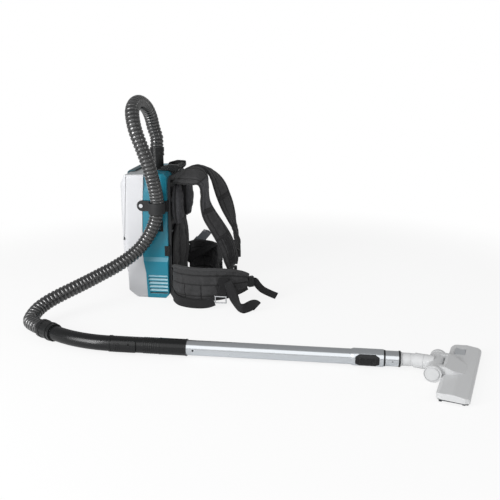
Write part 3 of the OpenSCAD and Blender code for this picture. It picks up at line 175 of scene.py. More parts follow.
# ---------- shader expressions
class Wire:
    """A shader socket that takes part in arithmetic; each operator adds a Math node."""

    def __init__(self, graph: "Graph", socket: bpy.types.NodeSocket) -> None:
        """Keeps the socket and its graph."""
        self.graph, self.socket = graph, socket

    def maths(self, operation: str, *terms: Term) -> "Wire":
        """Adds a Math node.

        Args:
            operation: the node's operation.
            terms: its inputs in order.

        Returns:
            The node's output.
        """
        return self.graph.wire("ShaderNodeMath", {"operation": operation}, dict(enumerate(terms)))

    def __add__(self, other: Term) -> "Wire":
        """self + other."""
        return self.maths("ADD", self, other)

    def __radd__(self, other: Term) -> "Wire":
        """other + self."""
        return self.maths("ADD", other, self)

    def __sub__(self, other: Term) -> "Wire":
        """self - other."""
        return self.maths("SUBTRACT", self, other)

    def __rsub__(self, other: Term) -> "Wire":
        """other - self."""
        return self.maths("SUBTRACT", other, self)

    def __mul__(self, other: Term) -> "Wire":
        """self * other."""
        return self.maths("MULTIPLY", self, other)

    def __rmul__(self, other: Term) -> "Wire":
        """other * self."""
        return self.maths("MULTIPLY", other, self)

    def __abs__(self) -> "Wire":
        """Size without sign."""
        return self.maths("ABSOLUTE", self)

    def wave(self) -> "Wire":
        """Sine of the value in turns, from -1 to 1."""
        return self.maths("SINE", self * (2 * math.pi))

    def fraction(self) -> "Wire":
        """The part after the decimal point."""
        return self.maths("FRACT", self)

    def ease(self, low: float, high: float) -> "Wire":
        """Smooth step from 0 at low to 1 at high."""
        ends = {"Value": self, "From Min": low, "From Max": high}
        return self.graph.wire("ShaderNodeMapRange", {"interpolation_type": "SMOOTHSTEP"}, ends, "Result")


class Graph:
    """The node tree of a material or a world, with the helpers that the finishes use."""

    def __init__(self, owner: Union[bpy.types.Material, bpy.types.World]) -> None:
        """Empties the owner's tree.

        Args:
            owner: the material or world.
        """
        owner.use_nodes = True
        self.tree = owner.node_tree
        self.tree.nodes.clear()

    def node(
        self, kind: str, settings: Optional[Dict[str, Any]] = None, inputs: Optional[Dict[Any, Term]] = None
    ) -> bpy.types.Node:
        """Makes a node, sets it up, then feeds its sockets.

        Args:
            kind: Blender's name of the node type.
            settings: the node's own settings.
            inputs: socket name or number to a value or a Wire.

        Returns:
            The node.
        """
        made = self.tree.nodes.new(kind)
        for name, value in (settings or {}).items():
            setattr(made, name, value)
        for key, value in (inputs or {}).items():
            socket = made.inputs[key]
            if isinstance(value, Wire):
                self.tree.links.new(value.socket, socket)
            else:
                socket.default_value = (*value[:3], 1.0) if socket.type == "RGBA" else value
        return made

    def wire(
        self,
        kind: str,
        settings: Optional[Dict[str, Any]] = None,
        inputs: Optional[Dict[Any, Term]] = None,
        output: Union[int, str] = 0,
    ) -> Wire:
        """Makes a node as above and returns one of its outputs."""
        return Wire(self, self.node(kind, settings, inputs).outputs[output])

    def place(self) -> Wire:
        """The point on the piece, in metres, in the part's own frame."""
        return self.wire("ShaderNodeTexCoord", output="Object")

    def axes(self, vector: Wire) -> List[Wire]:
        """Splits a vector into its three numbers."""
        return [Wire(self, out) for out in self.node("ShaderNodeSeparateXYZ", None, {0: vector}).outputs]

    def cloth_place(self) -> List[Wire]:
        """Place across and along a strip of cloth, in metres."""
        return self.axes(self.wire("ShaderNodeUVMap", {"uv_map": "cloth"}, output="UV"))[:2]

    def sewn(self) -> Wire:
        """The number on the mesh's points that is 1 on a seam."""
        return self.wire("ShaderNodeAttribute", {"attribute_name": "sewn"}, output="Fac").ease(0.1, 0.9)

    def stretched(self, vector: Wire, scale: Row) -> Wire:
        """Multiplies a vector by three numbers."""
        return self.wire("ShaderNodeVectorMath", {"operation": "MULTIPLY"}, {0: vector, 1: tuple(scale)})

    def cloud(self, vector: Wire, scale: float, detail: float = 3.0) -> Wire:
        """Noise around 0.5 on a vector, at that scale."""
        inputs = {"Vector": vector, "Scale": scale, "Detail": detail, "Roughness": 0.55}
        return self.wire("ShaderNodeTexNoise", None, inputs)

    def blend(self, share: Term, first: Term, second: Term) -> Wire:
        """Mixes two colours: a share of 0 gives the first and 1 the second."""
        return self.wire("ShaderNodeMix", {"data_type": "RGBA"}, {0: share, 6: first, 7: second}, 2)

    def rounded_edges(self, radius: float) -> Tuple[Wire, Wire]:
        """Softens hard edges in the shading.

        Args:
            radius: radius of the edge, in metres.

        Returns:
            The rounded normal, and a mask that is 1 on the edges.
        """
        bevel = self.wire("ShaderNodeBevel", {"samples": 4}, {"Radius": radius})
        true = self.wire("ShaderNodeNewGeometry", output="Normal")
        dot = self.wire("ShaderNodeVectorMath", {"operation": "DOT_PRODUCT"}, {0: bevel, 1: true}, "Value")
        return bevel, (1.0 - dot).ease(0.01, 0.14)

    def bumped(self, height: Wire, depth: float, normal: Optional[Wire] = None) -> Wire:
        """Turns a height into a normal.

        Args:
            height: height from 0 to 1.
            depth: what 1 stands for, in metres.
            normal: the normal that it is added to.

        Returns:
            The new normal.
        """
        inputs: Dict[Any, Term] = {"Height": height, "Distance": depth, "Strength": 1.0}
        if normal is not None:
            inputs["Normal"] = normal
        return self.wire("ShaderNodeBump", None, inputs)


# ---------- finishes
@dataclass(frozen=True)
class MouldedPlastic:
    """Injection-moulded plastic with a fine grain, faint clouding and rounded edges, whose colour is lifted
    as wear and painted highlight, and darkened as painted shade where the lift is negative.
    """

    tone: str
    roughness: float = 0.42
    grain_mm: float = 0.7
    grain_depth_mm: float = 0.02
    clouding: float = 0.04
    edge_mm: float = 0.7
    # Edge colour lift: wear and painted highlight above 0, painted shade below 0.
    edge_wear_and_light: float = 0.10
    coat: float = 0.0
    gloss: float = 0.35

    def looks(self, g: Graph) -> Dict[str, Term]:
        """The surface shader's inputs.

        Args:
            g: the material's graph.

        Returns:
            Names of the shader's sockets to values or wires.
        """
        at, base = g.place(), linear(self.tone)
        soft = g.cloud(at, 9.0)
        grain = g.cloud(at, 1000 / self.grain_mm, 2.0)
        scuff = g.cloud(g.stretched(at, (1.0, 1.0, 0.25)), 160.0, 4.0)
        normal, edge = g.rounded_edges(self.edge_mm * MM)
        colour = g.blend(soft, shade(base, 1 - self.clouding), shade(base, 1 + self.clouding))
        # Edge colour: wear plus a painted highlight, and painted shade instead where the lift is negative.
        lit_worn_edge = tuple(c + ((1 - c) if self.edge_wear_and_light > 0 else c) * self.edge_wear_and_light for c in base)
        colour = g.blend(edge * scuff.ease(0.35, 0.75), colour, lit_worn_edge)
        return {
            "Base Color": self.tinted(g, colour),
            "Roughness": self.roughness + (soft - 0.5) * 0.12 + scuff.ease(0.56, 0.72) * 0.08,
            "Specular IOR Level": self.gloss,
            "Coat Weight": self.coat,
            "Coat Roughness": 0.12,
            "Normal": g.bumped(grain, self.grain_depth_mm * MM, normal),
        }

    def tinted(self, g: Graph, colour: Wire) -> Wire:
        """Changes the colour in places; plain plastic keeps it."""
        return colour


@dataclass(frozen=True)
class PaintedShadeShell(MouldedPlastic):
    """Pale moulded plastic with painted shade towards its foot and a painted shadow line along the lid's
    leaning seam; lengths in metres.
    """

    # Painted shade towards the foot: the heights where it fades, and how dark it gets.
    foot: Pair = (0.012, 0.075)
    foot_shade_share: float = 0.72
    # Colour, strength and width of the painted shadow line in the lid's seam.
    seam: str = "#5c5d61"
    seam_shadow_share: float = 0.6
    seam_shadow_half: Pair = (0.0007, 0.0014)
    lean: float = 0.0714
    seam_x: float = -0.0763
    hook: float = 0.006
    hook_z: Pair = (0.168, 0.19)
    low_end: Pair = (0.166, 0.17)
    high_end: Pair = (0.35, 0.354)

    def tinted(self, g: Graph, colour: Wire) -> Wire:
        """Paints shade on the lowest part, and a shadow line in the gap where the lid meets the frame.

        Args:
            g: the material's graph.
            colour: the plastic's colour.

        Returns:
            The new colour.
        """
        x, _, z = g.axes(g.place())
        uneven = g.cloud(g.place(), 22.0) * 0.5 + 0.75
        # Painted shade, uneven, towards the foot.
        low = (1.0 - z.ease(*self.foot)) * uneven
        colour = g.blend(low, colour, shade(linear(self.tone), self.foot_shade_share))
        # Painted shadow line in the gap along the lid's leaning seam.
        joint = z * self.lean + self.seam_x - (1.0 - z.ease(*self.hook_z)) * self.hook
        near = 1.0 - abs(x - joint).ease(*self.seam_shadow_half)
        within = z.ease(*self.low_end) * (1.0 - z.ease(*self.high_end))
        return g.blend(near * within * self.seam_shadow_share, colour, linear(self.seam))


@dataclass(frozen=True)
class LouvredShell(MouldedPlastic):
    """Moulded plastic with a painted highlight on its louvre blades and on its upward facets."""

    # Colours of the painted highlights on the louvre blades and the ledges.
    louvre_highlight: str = "#c6edf8"
    ledge_highlight: str = "#a3d3e0"
    low_mm: Triple = (1.0, 100.0, 22.0)
    high_mm: Triple = (60.0, 114.4, 74.0)
    ledge_top: Pair = (0.28, 0.3)

    def tinted(self, g: Graph, colour: Wire) -> Wire:
        """Paints a highlight on the slanted faces of the louvre blades and on the ledges that look up.

        Args:
            g: the material's graph.
            colour: the plastic's colour.

        Returns:
            The new colour.
        """
        x, y, z = g.axes(g.place())
        _, _, up = g.axes(g.wire("ShaderNodeNewGeometry", output="True Normal"))
        # Painted highlight on upward faces inside the louvre block.
        inside = up.ease(0.3, 0.5)
        for value, low, high in zip((x, abs(y), z), self.low_mm, self.high_mm):
            middle, half = (low + high) / 2 * MM, (high - low) / 2 * MM
            inside = inside * (1.0 - abs(value - middle).ease(half, half + 0.0005))
        # Painted highlight on upward ledges below the ledge top.
        ledges = up.ease(0.25, 0.5) * (1.0 - z.ease(*self.ledge_top)) * 0.8
        return g.blend(inside, g.blend(ledges, colour, linear(self.ledge_highlight)), linear(self.louvre_highlight))


@dataclass(frozen=True)
class RibbedHose:
    """Glossy flexible plastic, with painted shade in the grooves between the ribs, slightly lighter crests,
    and dust in random patches.
    """

    tone: str
    pitch_mm: float
    dust: str = "#5c5c5a"

    def looks(self, g: Graph) -> Dict[str, Term]:
        """The surface shader's inputs.

        Args:
            g: the material's graph.

        Returns:
            Names of the shader's sockets to values or wires.
        """
        at, base = g.place(), linear(self.tone)
        _, along = g.cloth_place()
        crest = (0.5 - (along * (1000 / self.pitch_mm) + 0.25).wave() * 0.5).ease(0.1, 0.5)
        soft = g.cloud(at, 30.0)
        # Painted shade: grooves darker, crests slightly lighter.
        colour = g.blend(crest, shade(base, 0.5), shade(base, 1.1))
        return {
            "Base Color": g.blend(soft.ease(0.55, 0.85) * 0.25, colour, linear(self.dust)),
            "Roughness": 0.14 + soft * 0.12 + (1.0 - crest) * 0.3,
            "Specular IOR Level": 0.9,
            "Coat Weight": crest,
            "Coat Roughness": 0.1,
            "Normal": g.bumped(g.cloud(at, 900.0, 2.0), 0.00003),
        }


@dataclass(frozen=True)
class DrawnMetal:
    """Drawn or turned metal, with fine streaks along one axis and faint hand marks."""

    tone: str
    streaks: Triple
    roughness: float = 0.22
    edge_mm: float = 0.3

    def looks(self, g: Graph) -> Dict[str, Term]:
        """The surface shader's inputs.

        Args:
            g: the material's graph.

        Returns:
            Names of the shader's sockets to values or wires.
        """
        at, base = g.place(), linear(self.tone)
        streak = g.cloud(g.stretched(at, self.streaks), 60.0, 4.0)
        marks = g.cloud(at, 45.0).ease(0.5, 0.8)
        normal, _ = g.rounded_edges(self.edge_mm * MM)
        return {
            "Base Color": g.blend(streak, shade(base, 0.9), shade(base, 1.06)),
            "Metallic": 1.0,
            "Roughness": self.roughness + (streak - 0.5) * 0.16 + marks * 0.07,
            "Normal": g.bumped(streak, 0.00002, normal),
        }


@dataclass(frozen=True)
class WovenTape:
    """Flat woven webbing: chevron ribs across it, a tighter edge and a little fuzz."""

    tone: str
    half_mm: float = 12.0
    chevrons: float = 160.0
    ribs: float = 520.0
    threads: float = 1250.0

    def looks(self, g: Graph) -> Dict[str, Term]:
        """The surface shader's inputs.

        Args:
            g: the material's graph.

        Returns:
            Names of the shader's sockets to values or wires.
        """
        across, along = g.cloth_place()
        chevron = abs((across * self.chevrons).fraction() - 0.5)
        rib = (along * self.ribs + chevron * 1.6).wave() * 0.5 + 0.5
        thread = (across * self.threads).wave() * 0.5 + 0.5
        edge = abs(across).ease((self.half_mm - 2.4) * MM, (self.half_mm - 0.6) * MM)
        fuzz = g.cloud(g.place(), 700.0)
        base, height = linear(self.tone), rib * 0.7 + thread * 0.3
        colour = g.blend(height, shade(base, 0.6), shade(base, 1.35))
        colour = g.blend(edge * 0.5, colour, shade(base, 0.55))
        return {
            "Base Color": g.blend(fuzz.ease(0.6, 0.9) * 0.3, colour, shade(base, 3.0)),
            "Roughness": 0.78 + fuzz * 0.15,
            "Specular IOR Level": 0.15,
            "Sheen Weight": 0.08,
            "Sheen Roughness": 0.5,
            "Normal": g.bumped(height, 0.00035),
        }


@dataclass(frozen=True)
class PadCloth:
    """Woven cover over foam, with thread relief, faint creases, worn tops and painted shade along its seams.
    """

    tone: str
    thread_mm: float = 1.5
    relief_mm: float = 0.16
    crease_mm: float = 1.1
    groove_mm: float = 1.2

    def looks(self, g: Graph) -> Dict[str, Term]:
        """The surface shader's inputs.

        Args:
            g: the material's graph.

        Returns:
            Names of the shader's sockets to values or wires.
        """
        at, base = g.place(), linear(self.tone)
        x, y, z = g.axes(at)
        turns = 1000 / self.thread_mm
        weave = ((x + y * 0.9) * turns).wave() * (z * turns).wave() * 0.5 + 0.5
        crease = g.cloud(g.stretched(at, (1.0, 1.0, 1.7)), 26.0)
        worn, sewn = g.cloud(at, 14.0), g.sewn()
        colour = g.blend(weave, shade(base, 0.75), shade(base, 1.2))
        colour = g.blend(worn.ease(0.45, 0.8) * 0.35, colour, shade(base, 1.9))
        threads = g.bumped(1.0 - sewn, self.groove_mm * MM, g.bumped(weave, self.relief_mm * MM))
        return {
            # Painted shade along the sewn seams.
            "Base Color": g.blend(sewn * 0.75, colour, shade(base, 0.3)),
            "Roughness": 0.86 - worn * 0.12,
            "Specular IOR Level": 0.15,
            "Sheen Weight": 0.1,
            "Sheen Roughness": 0.45,
            "Normal": g.bumped(crease, self.crease_mm * MM, threads),
        }


@dataclass(frozen=True)
class SpacerMesh:
    """Thick air mesh: rounded cells with dark holes between them, and painted shade along its seams."""

    tone: str
    cell_mm: float = 2.6

    def looks(self, g: Graph) -> Dict[str, Term]:
        """The surface shader's inputs.

        Args:
            g: the material's graph.

        Returns:
            Names of the shader's sockets to values or wires.
        """
        at, base = g.place(), linear(self.tone)
        inputs = {"Vector": at, "Scale": 1000 / self.cell_mm, "Randomness": 0.25}
        hole = g.wire("ShaderNodeTexVoronoi", {"feature": "F1"}, inputs, "Distance").ease(0.18, 0.5)
        worn = g.cloud(at, 16.0)
        colour = g.blend(hole, shade(base, 0.45), shade(base, 1.15))
        colour = g.blend(worn.ease(0.4, 0.8) * 0.3, colour, shade(base, 1.6))
        return {
            # Painted shade along the sewn seams.
            "Base Color": g.blend(g.sewn() * 0.7, colour, shade(base, 0.3)),
            "Roughness": 0.9 - worn * 0.1,
            "Specular IOR Level": 0.15,
            "Sheen Weight": 0.08,
            "Sheen Roughness": 0.5,
            "Normal": g.bumped(g.cloud(at, 30.0, 2.0), 0.0008, g.bumped(hole, 0.0004)),
        }


@dataclass(frozen=True)
class Fibre:
    """Filter paper, foam or bristles: fine fibres stretched one way."""

    tone: str
    stretch: Triple = (1.0, 1.0, 1.0)
    depth_mm: float = 0.3

    def looks(self, g: Graph) -> Dict[str, Term]:
        """The surface shader's inputs.

        Args:
            g: the material's graph.

        Returns:
            Names of the shader's sockets to values or wires.
        """
        fibre, base = g.cloud(g.stretched(g.place(), self.stretch), 420.0, 4.0), linear(self.tone)
        return {
            "Base Color": g.blend(fibre.ease(0.3, 0.7), shade(base, 0.7), shade(base, 1.15)),
            "Roughness": 0.85 + fibre * 0.1,
            "Normal": g.bumped(fibre, self.depth_mm * MM),
        }


class Finish(Enum):
    """The finishes of the vacuum cleaner's pieces."""

    TEAL_SHELL = LouvredShell("#1b7a90", roughness=0.3, clouding=0.03, edge_wear_and_light=0.22, coat=0.3)
    WHITE_SHELL = PaintedShadeShell("#cccdd0", roughness=0.34, clouding=0.015, edge_wear_and_light=-0.2, edge_mm=1.0, coat=0.1)
    ROOF_GREY = MouldedPlastic("#b4b8ba", roughness=0.4, clouding=0.02)
    LATCH_DARK = MouldedPlastic("#1f4650", roughness=0.35)
    BLACK_PLASTIC = MouldedPlastic("#161718", roughness=0.3, edge_wear_and_light=0.08)
    HANDLE_BLACK = MouldedPlastic("#131415", roughness=0.26, edge_wear_and_light=0.06)
    PLATE_BLACK = MouldedPlastic("#37383a", roughness=0.5, edge_wear_and_light=0.06)
    GREY_PLASTIC = MouldedPlastic("#3b3e41", roughness=0.45)
    PEDAL_GREY = MouldedPlastic("#b3b6b9", roughness=0.4)
    NOZZLE_WHITE = MouldedPlastic("#d0d1d2", roughness=0.34, clouding=0.015, edge_wear_and_light=-0.12, coat=0.1)
    SMOKY_TOOL = MouldedPlastic("#93979c", roughness=0.28, clouding=0.08, coat=0.2)
    RED_BUTTON = MouldedPlastic("#a5252a", roughness=0.4)
    SOFT_RUBBER = MouldedPlastic("#222324", roughness=0.6, grain_mm=1.2, grain_depth_mm=0.05, edge_wear_and_light=0.12)
    BOARD = MouldedPlastic("#2f6b45", roughness=0.4)
    MOTOR_PAINT = MouldedPlastic("#54585c", roughness=0.35)
    TUBE = DrawnMetal("#d6dade", (0.03, 1.0, 1.0), roughness=0.2)
    TURNED_STEEL = DrawnMetal("#b9bcbf", (1.0, 0.2, 1.0), roughness=0.3)
    PLATED_WIRE = DrawnMetal("#dfe1e4", (1.0, 1.0, 1.0), roughness=0.12)
    HOSE = RibbedHose("#161718", 10.5)
    WEBBING = WovenTape("#262627")
    BINDING = WovenTape("#2c2c2d", half_mm=30.0)
    PAD = PadCloth("#3a3a3b")
    PAD_SMOOTH = PadCloth("#3e3e3f", thread_mm=1.1, relief_mm=0.1, crease_mm=0.5)
    # Dark cloth for the bands painted as fold shadows.
    FOLD_SHADOW_CLOTH = PadCloth("#2c2c2d")
    POCKET = PadCloth("#5b5c5f", thread_mm=1.1)
    AIR_MESH = SpacerMesh("#48484b")
    STITCH = Fibre("#3c3d40", depth_mm=0.05)
    BAG_PAPER = Fibre("#d9cfae")
    FOAM = Fibre("#4b5053", depth_mm=0.8)
    BRISTLE = Fibre("#26282a", (3.0, 3.0, 0.2), 0.6)

    @property
    def material(self) -> bpy.types.Material:
        """The finish's material, made on first use.

        Returns:
            The material.
        """
        name = "finish_" + self.name.lower()
        made = bpy.data.materials.get(name)
        if made is None:
            made = bpy.data.materials.new(name)
            g = Graph(made)
            shader = g.wire("ShaderNodeBsdfPrincipled", None, self.value.looks(g))
            g.node("ShaderNodeOutputMaterial", None, {"Surface": shader})
        return made


# ---------- meshes
def in_scene(name: str, data: bpy.types.ID) -> bpy.types.Object:
    """Makes an object of a mesh, lamp or camera and adds it to the scene.

    Args:
        name: its name.
        data: the mesh, lamp or camera.

    Returns:
        The object.
    """
    made = bpy.data.objects.new(name, data)
    bpy.context.scene.collection.objects.link(made)
    return made


@dataclass
class MeshMaker:
    """Gathers rings of points into one mesh with a place across and along the cloth."""

    name: str
    points: List[Vector] = field(default_factory=list)
    faces: List[Tuple[int, ...]] = field(default_factory=list)
    places: List[Pair] = field(default_factory=list)
    stitch_pitch_mm: float = 4.2
    stitch_share: float = 0.62
    stitch_half_mm: float = 0.42
    stitch_rise_mm: float = 0.34

    def wall(self, rings: Sequence[Sequence[Vector]], across: Row, along: Row, ends: bool = True) -> None:
        """Joins closed rings of equal length into a wall.

        Args:
            rings: the rings in order.
            across: place across the cloth for each point, and once more for the first.
            along: place along the cloth for each ring.
            ends: whether both ends are closed.
        """
        base, n = len(self.points), len(rings[0])
        for ring in rings:
            self.points.extend(ring)
        for j in range(len(rings) - 1):
            for i in range(n):
                k, a, b = (i + 1) % n, base + j * n, base + (j + 1) * n
                self.faces.append((a + i, a + k, b + k, b + i))
                corners = ((i, j), (i + 1, j), (i + 1, j + 1), (i, j + 1))
                self.places += [(across[p], along[q]) for p, q in corners]
        if ends:
            last = base + (len(rings) - 1) * n
            for first, row, order in ((base, along[0], range(n)[::-1]), (last, along[-1], range(n))):
                self.faces.append(tuple(first + i for i in order))
                self.places += [(across[i], row) for i in order]

    def sweep(self, steps: Sequence[Step], section: Outline) -> None:
        """Sweeps one closed section, in metres, along a track, with closed ends."""
        across = [x for x, _ in section] + [section[0][0]]
        self.wall([s.ring(section) for s in steps], across, [s.run for s in steps])

    def sew(self, line: Sequence[Vector], out: Sequence[Vector]) -> None:
        """Sews a row of raised stitches along a line.

        Args:
            line: points on the cloth.
            out: the direction away from the cloth at each point.
        """
        places = even_points(line, self.stitch_pitch_mm * MM)
        for point, after in zip(places, places[1:]):
            nearest = min(range(len(line)), key=lambda i: (line[i] - point).length_squared)
            ahead, up = after - point, Vector(out[nearest]).normalized()
            if ahead.length < 1e-6:
                continue
            side = ahead.cross(up).normalized() * (self.stitch_half_mm * MM)
            rise = up * (self.stitch_rise_mm * MM)
            bead = ((1, 0), (0.5, 1), (-0.5, 1), (-1, 0))
            ends = point, point + ahead * self.stitch_share
            rings = [[c + side * x + rise * y for x, y in bead] for c in ends]
            self.wall(rings, [0.0] * 5, [0.0, 0.003])

    def build(self, finish: Finish, slot: str = "", smooth: bool = True) -> bpy.types.Object:
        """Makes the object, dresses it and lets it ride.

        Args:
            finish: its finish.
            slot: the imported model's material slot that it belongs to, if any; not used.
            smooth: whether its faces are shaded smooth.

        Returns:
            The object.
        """
        mesh = bpy.data.meshes.new(self.name)
        mesh.from_pydata([tuple(p) for p in self.points], [], self.faces)
        layer = mesh.uv_layers.new(name="cloth")
        layer.data.foreach_set("uv", [v for place in self.places for v in place])
        mesh.polygons.foreach_set("use_smooth", [smooth] * len(mesh.polygons))
        mesh.materials.append(finish.material)
        mesh.update()
        made = in_scene(self.name, mesh)
        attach(made, "unit")
        LOG.info("%s: %d points, %s", self.name, len(self.points), finish.name)
        return made


# ---------- hose
@dataclass(frozen=True)
class RibbedTube:
    """The suction hose, from the swivel cuff on the casing to the cuff on the handle."""

    outer_mm: float = 38.0
    groove_mm: float = 33.2
    bore_mm: float = 29.0
    pitch_mm: float = 10.5
    rings_per_rib: int = 10
    sides: int = 28
    start: Triple = (10.0, 0.0, 411.0)
    middle: Tuple[Triple, ...] = (
        (3, -4, 477), (0, -14, 505), (-4, -33, 530), (-9, -58, 546), (-13, -88, 553),
        (-15, -121, 548), (-13, -149, 533), (-7, -166, 511), (1, -176, 486), (11, -181, 460),
        (21, -181, 433), (29, -177, 406), (36, -169, 375), (41, -155, 334), (42.5, -141, 298),
        (41, -137, 270), (36, -136, 238), (22, -141, 202), (-3, -152, 164), (-33, -170, 136),
        (-68, -195, 114), (-102, -222, 98), (-130, -250, 86), (-156, -278, 76), (-181, -301, 66),
        (-205, -324, 55), (-223, -348, 43), (-230, -374, 32), (-226, -397, 25),
    )
    bend_end: Triple = (-138.976, -457.414, 24.0)
    back: Triple = (-0.848048, 0.529919, 0.0)
    cuff_reach_mm: float = 37.0

    def route(self) -> List[Vector]:
        """The centre line's points, in metres, as the solid follows them.

        Returns:
            The points, from the casing to the handle.
        """
        start, back = Vector(self.start), Vector(self.back)
        end = Vector(self.bend_end) + back * self.cuff_reach_mm
        rise = Vector((0, 0, self.outer_mm / 2))
        rows = [start, start + rise, start + rise * 2]
        rows += [Vector(p) for p in self.middle]
        rows += [end + back * self.outer_mm, end + back * self.outer_mm / 2, end]
        return [Vector(p) * MM for p in smooth_rows(rows, 12)]

    def rib_radius(self, turn: float) -> float:
        """Radius in millimetres at a place counted in ribs: flat crests, narrow grooves.

        Args:
            turn: place along the hose, counted in ribs.

        Returns:
            The radius, in millimetres.
        """
        wave = 0.5 - 0.5 * math.cos(2 * math.pi * turn)
        crest = min(1.0, max(0.0, (wave - 0.06) / 0.5))
        crest = crest * crest * (3 - 2 * crest)
        low, high = self.groove_mm / 2, self.outer_mm / 2
        return low + (high - low) * crest

    def close_ends(
        self, maker: MeshMaker, base: int, outer_rings: int, inner_rings: int, across: Row
    ) -> None:
        """Joins the skin and the bore at both ends.

        Args:
            maker: the mesh that holds both.
            base: number of the bore's first point.
            outer_rings: how many rings the skin has.
            inner_rings: how many rings the bore has.
            across: place across the cloth for each point.
        """
        n = self.sides
        last = (outer_rings - 1) * n, base + (inner_rings - 1) * n
        for outer, inner, turned in ((0, base, True), (*last, False)):
            for i in range(n):
                k = (i + 1) % n
                face = (outer + i, outer + k, inner + (n - 1 - k), inner + (n - 1 - i))
                maker.faces.append(face[::-1] if turned else face)
                maker.places += [(across[i], 0.0)] * 4

    def build(self) -> None:
        pitch = self.pitch_mm * MM
        path = even_points(self.route(), pitch / self.rings_per_rib)
        steps = lay_track(path)
        length = steps[-1].run
        ribs = round(length / pitch)
        maker = MeshMaker("ribbed_hose")
        rings = []
        for s in steps:
            r = self.rib_radius(s.run / length * ribs) * MM
            rings.append(s.ring(oval(r, r, self.sides)))
        across = [i / self.sides * 0.1 for i in range(self.sides + 1)]
        maker.wall(rings, across, [s.run * ribs * self.pitch_mm * MM / length for s in steps], ends=False)
        inside = [steps[0]] + steps[20:-20:20] + [steps[-1]]
        bore = oval(self.bore_mm / 2 * MM, self.bore_mm / 2 * MM, self.sides)[::-1]
        base = len(maker.points)
        maker.wall([s.ring(bore) for s in inside], across, [s.run for s in inside], ends=False)
        self.close_ends(maker, base, len(steps), len(inside), across)
        hose = maker.build(Finish.HOSE, "hose_plastic")
        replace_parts(hose, "hose")
        [tuple(p) for p in path[::5]] + [tuple(path[-1])]


# ---------- padded strips
@dataclass(frozen=True)
class CushionFill:
    """A short cloth simulation that fills a padded cover and draws creases towards its seams."""

    strip: "PaddedStrip"
    voxel_mm: float = 4.2
    pressure: float = 4.0
    frames: int = 18
    reach_mm: float = 2.6
    stiffness: float = 12.0
    bending: float = 0.4
    free_across: float = 0.93
    bare_end: float = 0.03

    def pinned(self, piece: bpy.types.Object) -> bpy.types.VertexGroup:
        """Groups the points that the filling can't lift: seams, edges and ends.

        Args:
            piece: the cover.

        Returns:
            The group.
        """
        group = piece.vertex_groups.new(name="pinned")
        for v in piece.data.vertices:
            share, across, _ = self.strip.find(v.co)
            edge = abs(across) > self.free_across or not self.bare_end < share < 1 - self.bare_end
            if edge or self.strip.sewn(share, across) > 0.5:
                group.add([v.index], 1.0, "ADD")
        return group

    def run(self, piece: bpy.types.Object) -> None:
        """Args:
            piece: the cover.
        """
        scene = bpy.context.scene
        even = piece.modifiers.new("even", "REMESH")
        even.mode, even.voxel_size, even.use_smooth_shade = "VOXEL", self.voxel_mm * MM, True
        self.keep(piece)
        rest = [v.co.copy() for v in piece.data.vertices]
        group = self.pinned(piece)
        cloth = piece.modifiers.new("cloth", "CLOTH")
        ways = cloth.settings
        ways.quality, ways.mass, ways.air_damping = 4, 0.2, 2.0
        ways.use_pressure, ways.uniform_pressure_force = True, self.pressure
        ways.shrink_min, ways.vertex_group_mass = -0.06, group.name
        ways.effector_weights.gravity = 0.0
        ways.tension_stiffness = ways.compression_stiffness = self.stiffness
        ways.bending_stiffness = self.bending
        cloth.collision_settings.use_collision = False
        for step in range(1, self.frames + 1):
            scene.frame_set(step)
        self.keep(piece)
        scene.frame_set(1)
        furthest = 0.0
        for v, start in zip(piece.data.vertices, rest):
            move = v.co - start
            furthest = max(furthest, move.length)
            if move.length > self.reach_mm * MM:
                v.co = start + move.normalized() * self.reach_mm * MM
        finer = piece.modifiers.new("finer", "SUBSURF")
        finer.levels = finer.render_levels = 1
        self.keep(piece)
        piece.data.polygons.foreach_set("use_smooth", [True] * len(piece.data.polygons))
        LOG.info("%s filled: %d points, moved up to %.1f mm", piece.name, len(rest), furthest / MM)

    @staticmethod
    def keep(piece: bpy.types.Object) -> None:
        """Turns the piece's shape, as its modifiers make it, into its own mesh.

        Args:
            piece: the piece.
        """
        graph = bpy.context.evaluated_depsgraph_get()
        shaped = bpy.data.meshes.new_from_object(piece.evaluated_get(graph))
        piece.modifiers.clear()
        old, piece.data = piece.data, shaped
        bpy.data.meshes.remove(old)


